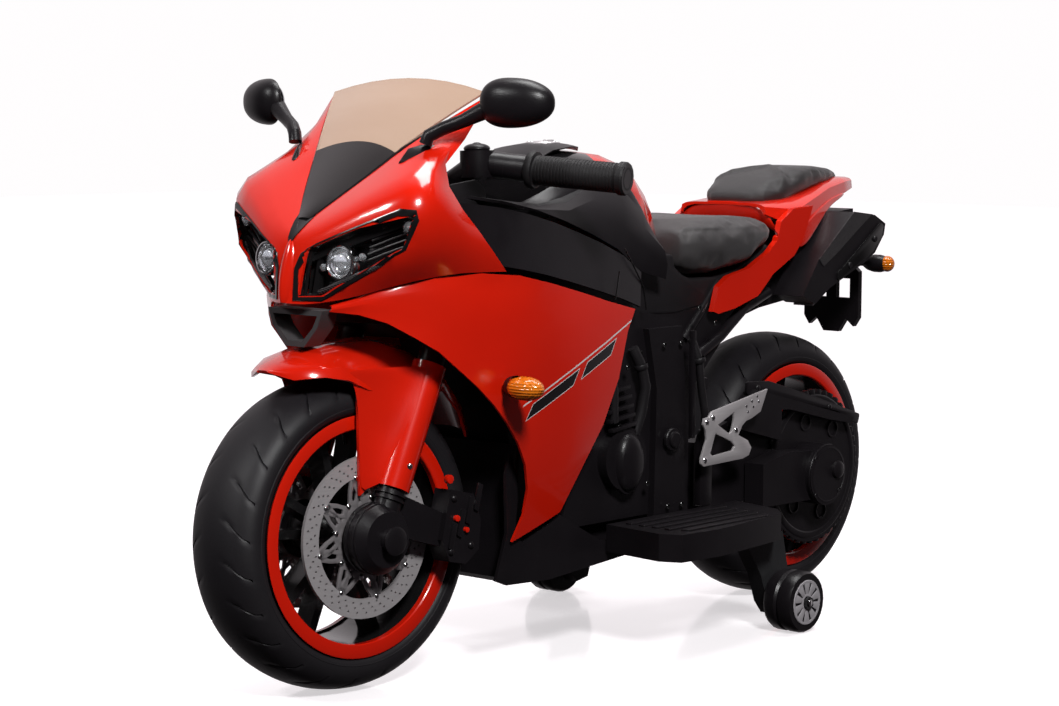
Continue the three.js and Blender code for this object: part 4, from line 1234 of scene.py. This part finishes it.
def flank_seams(bm):
    """Raised seam lines on the black side panel."""
    for line in ([(131.2, -66, 446), (131.6, -70, 428), (130.6, -72, 414)],
                 [(114, -36, 470), (112, -18, 450), (108, 6, 424), (104.6, 16, 396)]):
        pipe(bm, line, 0.9, 8)


def build_skins():
    pair(fender_cheek, RED, "steering", subdivide=1)
    single(nose_beak, RED, subdivide=1, split=60)
    single(screen_foot, BLACK_GLOSS, slot_name="tinted_screen", split=50)
    pair(lamp_bowl, BLACK_GLOSS)
    pair(lamp_surround, BLACK_GLOSS)
    pair(lamp_lip, BLACK_GLOSS, split=50)
    pair(lamp_dish, CHROME)
    pair(screen_bead)
    pair(mirror_shell, body="mirror_SIDE", hides=["mirror"])
    pair(mirror_boot, bevel=1.5)
    pair(bar_sleeve, body="steering")
    pair(tank_shoulder, subdivide=1)
    pair(tail_cheek, RED, subdivide=1, split=50)
    single(tail_apron, RED, subdivide=1, split=50)
    pair(flank_seams, BLACK_GLOSS)


# ---------------------------------------------------------------- padded pieces
SEAT_FORM = [(113, 60, 446, 478), (118, 76, 439, 486), (138, 88, 431, 492), (178, 97, 431, 496),
             (232, 100, 440, 496), (272, 94, 458, 492), (294, 82, 470, 487), (302, 60, 475, 483)]
PAD_FORM = [(311, 30, 510, 520), (322, 46, 508, 528), (352, 58, 508, 541), (396, 58, 518, 552),
            (440, 52, 528, 553), (486, 40, 535, 549), (514, 27, 538, 545), (521, 16, 538, 543)]
PAD_SIDES = 28
SQUARENESS = 0.42
# The cloth's grid and the furthest a point may move are in metres.
VOXEL = 0.0045
FURTHEST = 0.004
PRESSURE = 4.0
FRAMES = 20


def pad_form(bm, stations):
    """A cushion's body: rounded-square rings bridged from front to back."""
    rows = []
    for y, half, low, high in stations:
        middle = (low + high) / 2
        row = hoop(bm, (0, y, middle), (0, 1, 0), 1.0, PAD_SIDES)
        for v in row:
            a = math.atan2(v.co.z - middle, v.co.x)
            c, s = math.cos(a), math.sin(a)
            v.co.x = math.copysign(abs(c) ** SQUARENESS, c) * half
            v.co.z = middle + math.copysign(abs(s) ** SQUARENESS, s) * (high - low) / 2
        rows.append(row)
    bridge(bm, rows, True)


def swell(made):
    """Blows the cushion up as cloth, and keeps each point within FURTHEST of its start."""
    scene = bpy.context.scene
    remesh = made.modifiers.new("remesh", "REMESH")
    remesh.mode = "VOXEL"
    remesh.voxel_size = VOXEL
    bake(made)
    rest = [v.co.copy() for v in made.data.vertices]
    cloth = made.modifiers.new("cloth", "CLOTH")
    cloth.settings.use_pressure = True
    cloth.settings.uniform_pressure_force = PRESSURE
    cloth.settings.effector_weights.gravity = 0.0
    cloth.settings.quality = 4
    cloth.point_cache.frame_start, cloth.point_cache.frame_end = 1, FRAMES
    for number in range(1, FRAMES + 1):
        scene.frame_set(number)
    bake(made)
    scene.frame_set(1)
    for v, start in zip(made.data.vertices, rest):
        moved = v.co - start
        if moved.length > FURTHEST:
            v.co = start + moved.normalized() * FURTHEST


def bake(made):
    """Applies every modifier by taking the evaluated mesh."""
    graph = bpy.context.evaluated_depsgraph_get()
    fresh = bpy.data.meshes.new_from_object(made.evaluated_get(graph))
    made.modifiers.clear()
    made.data = fresh


def cushion(name, stations, hides, crease, finish):
    bm = shape(pad_form, stations)
    made = make(name, bm, finish, hides=hides, slot_name="seat_cover", split=0)
    swell(made)
    for v in made.data.vertices:
        v.co += crease(v.co * PER_METRE) * MM
    for face in made.data.polygons:
        face.use_smooth = True
    finer = made.modifiers.new("finer", "SUBSURF")
    finer.levels = finer.render_levels = 1
    return made


def dent(distance, width, depth):
    return -depth * math.exp(-(distance / width) ** 2)


def seat_crease(p):
    """Sewn line round the saddle's upper edge, and a shallow dish where the rider sits."""
    welt = dent(p.z - 483.0, 2.6, 1.6) if abs(p.x) > 70 or p.y < 125 or p.y > 292 else 0.0
    dish = dent(math.hypot(p.x / 78, (p.y - 205) / 66), 0.75, 3.0) if p.z > 484 else 0.0
    outward = Vector((math.copysign(1, p.x), 0, 0)) if abs(p.x) > 70 else Vector((0, 0, 0))
    return outward * welt + Vector((0, 0, dish))


def pad_crease(p):
    """A chevron ridge across the pillion pad, with a fold behind it."""
    ridge = 396 + abs(p.x) * -0.75
    rise = 4.4 * math.exp(-((p.y - ridge) / 7.0) ** 2) + dent(p.y - ridge - 14, 5.0, 3.4)
    return Vector((0, 0, rise if p.z > 535 else 0.0))


wheels()
build_small_parts()
build_skins()
cushion("saddle", SEAT_FORM, ("seat",), seat_crease, SEAT_VINYL)
cushion("pillion_cushion", PAD_FORM, ("pillion_pad",), pad_crease, PAD_VINYL)


# ---------------------------------------------------------------- floor, light, camera
def floor():
    bm = bmesh.new()
    bmesh.ops.create_grid(bm, x_segments=1, y_segments=1, size=12.0)
    mesh = bpy.data.meshes.new("floor")
    bm.to_mesh(mesh)
    made = bpy.data.objects.new("floor", mesh)
    bpy.context.scene.collection.objects.link(made)
    f = Finish("pale_floor")
    colour = f.blend(f.noise(3.0), rgb(0.86, 0.83, 0.85), rgb(0.90, 0.88, 0.89))
    mesh.materials.append(f.finish(colour, f.noise(5.0) * 0.05 + 0.10, Specular_IOR_Level=0.6,
                                   Emission_Color=rgb(1.0, 0.965, 0.985),
                                   Emission_Strength=0.60))
    made.visible_diffuse = made.visible_glossy = False


def lamp(name, at, aim, size, watts):
    light = bpy.data.lights.new(name, "AREA")
    light.shape = "RECTANGLE"
    light.size, light.size_y = size
    light.energy = watts
    made = bpy.data.objects.new(name, light)
    made.location = at
    made.rotation_mode = "QUATERNION"
    made.rotation_quaternion = (Vector(aim) - Vector(at)).to_track_quat("-Z", "Y")
    bpy.context.scene.collection.objects.link(made)


def room():
    """A pale background for the camera, and a dark room with one bright side for reflections."""
    world = bpy.data.worlds.new("studio")
    bpy.context.scene.world = world
    sky = Tree(world)
    heading = sky.node("TexCoord", {}, {}, "Generated")
    towards = sky.node("VectorMath", {"operation": "DOT_PRODUCT"}, [heading, (-0.62, 0.70, 0.36)],
                       "Value")
    shade = sky.node("ValToRGB", {}, [towards * 0.5 + 0.5])
    dark, bright = shade.socket.node.color_ramp.elements
    dark.position, bright.position = 0.60, 0.92
    dark.color = rgb(0.022, 0.018, 0.020)
    bright.color = rgb(0.62, 0.57, 0.59)
    seen = sky.blend(sky.node("LightPath", {}, {}, "Is Camera Ray"), shade, rgb(1.0, 0.985, 0.99))
    sky.close("World", sky.node("Background", {}, {"Color": seen}))
    lamp("key", (3.0, -2.0, 3.0), (0, 0, 0.3), (0.7, 0.7), 165)
    lamp("fill", (-0.9, -3.2, 2.6), (0, 0, 0.4), (0.6, 0.6), 46)
    lamp("top", (0.0, 0.4, 2.8), (0, 0, 0.3), (1.6, 1.0), 46)


CAMERA_AT = Vector((2.0019, -2.3296, 0.6350))
CAMERA_DEGREES = (41.561, 5.508, 0.284)
LENS = 87.806


def camera():
    azimuth, elevation, roll = (math.radians(v) for v in CAMERA_DEGREES)
    back = Vector((math.sin(azimuth) * math.cos(elevation),
                   -math.cos(azimuth) * math.cos(elevation), math.sin(elevation)))
    right = Vector((math.cos(azimuth), math.sin(azimuth), 0))
    up = back.cross(right)
    rolled = math.cos(roll) * right + math.sin(roll) * up
    upright = -math.sin(roll) * right + math.cos(roll) * up
    data = bpy.data.cameras.new("camera")
    data.lens, data.sensor_width = LENS, 36.0
    data.clip_start, data.clip_end = 0.05, 60.0
    made = bpy.data.objects.new("camera", data)
    made.matrix_world = Matrix((
        (rolled.x, upright.x, back.x, CAMERA_AT.x),
        (rolled.y, upright.y, back.y, CAMERA_AT.y),
        (rolled.z, upright.z, back.z, CAMERA_AT.z),
        (0, 0, 0, 1)))
    bpy.context.scene.collection.objects.link(made)
    bpy.context.scene.camera = made


floor()
room()
camera()
bpy.context.scene.view_settings.view_transform = "Standard"
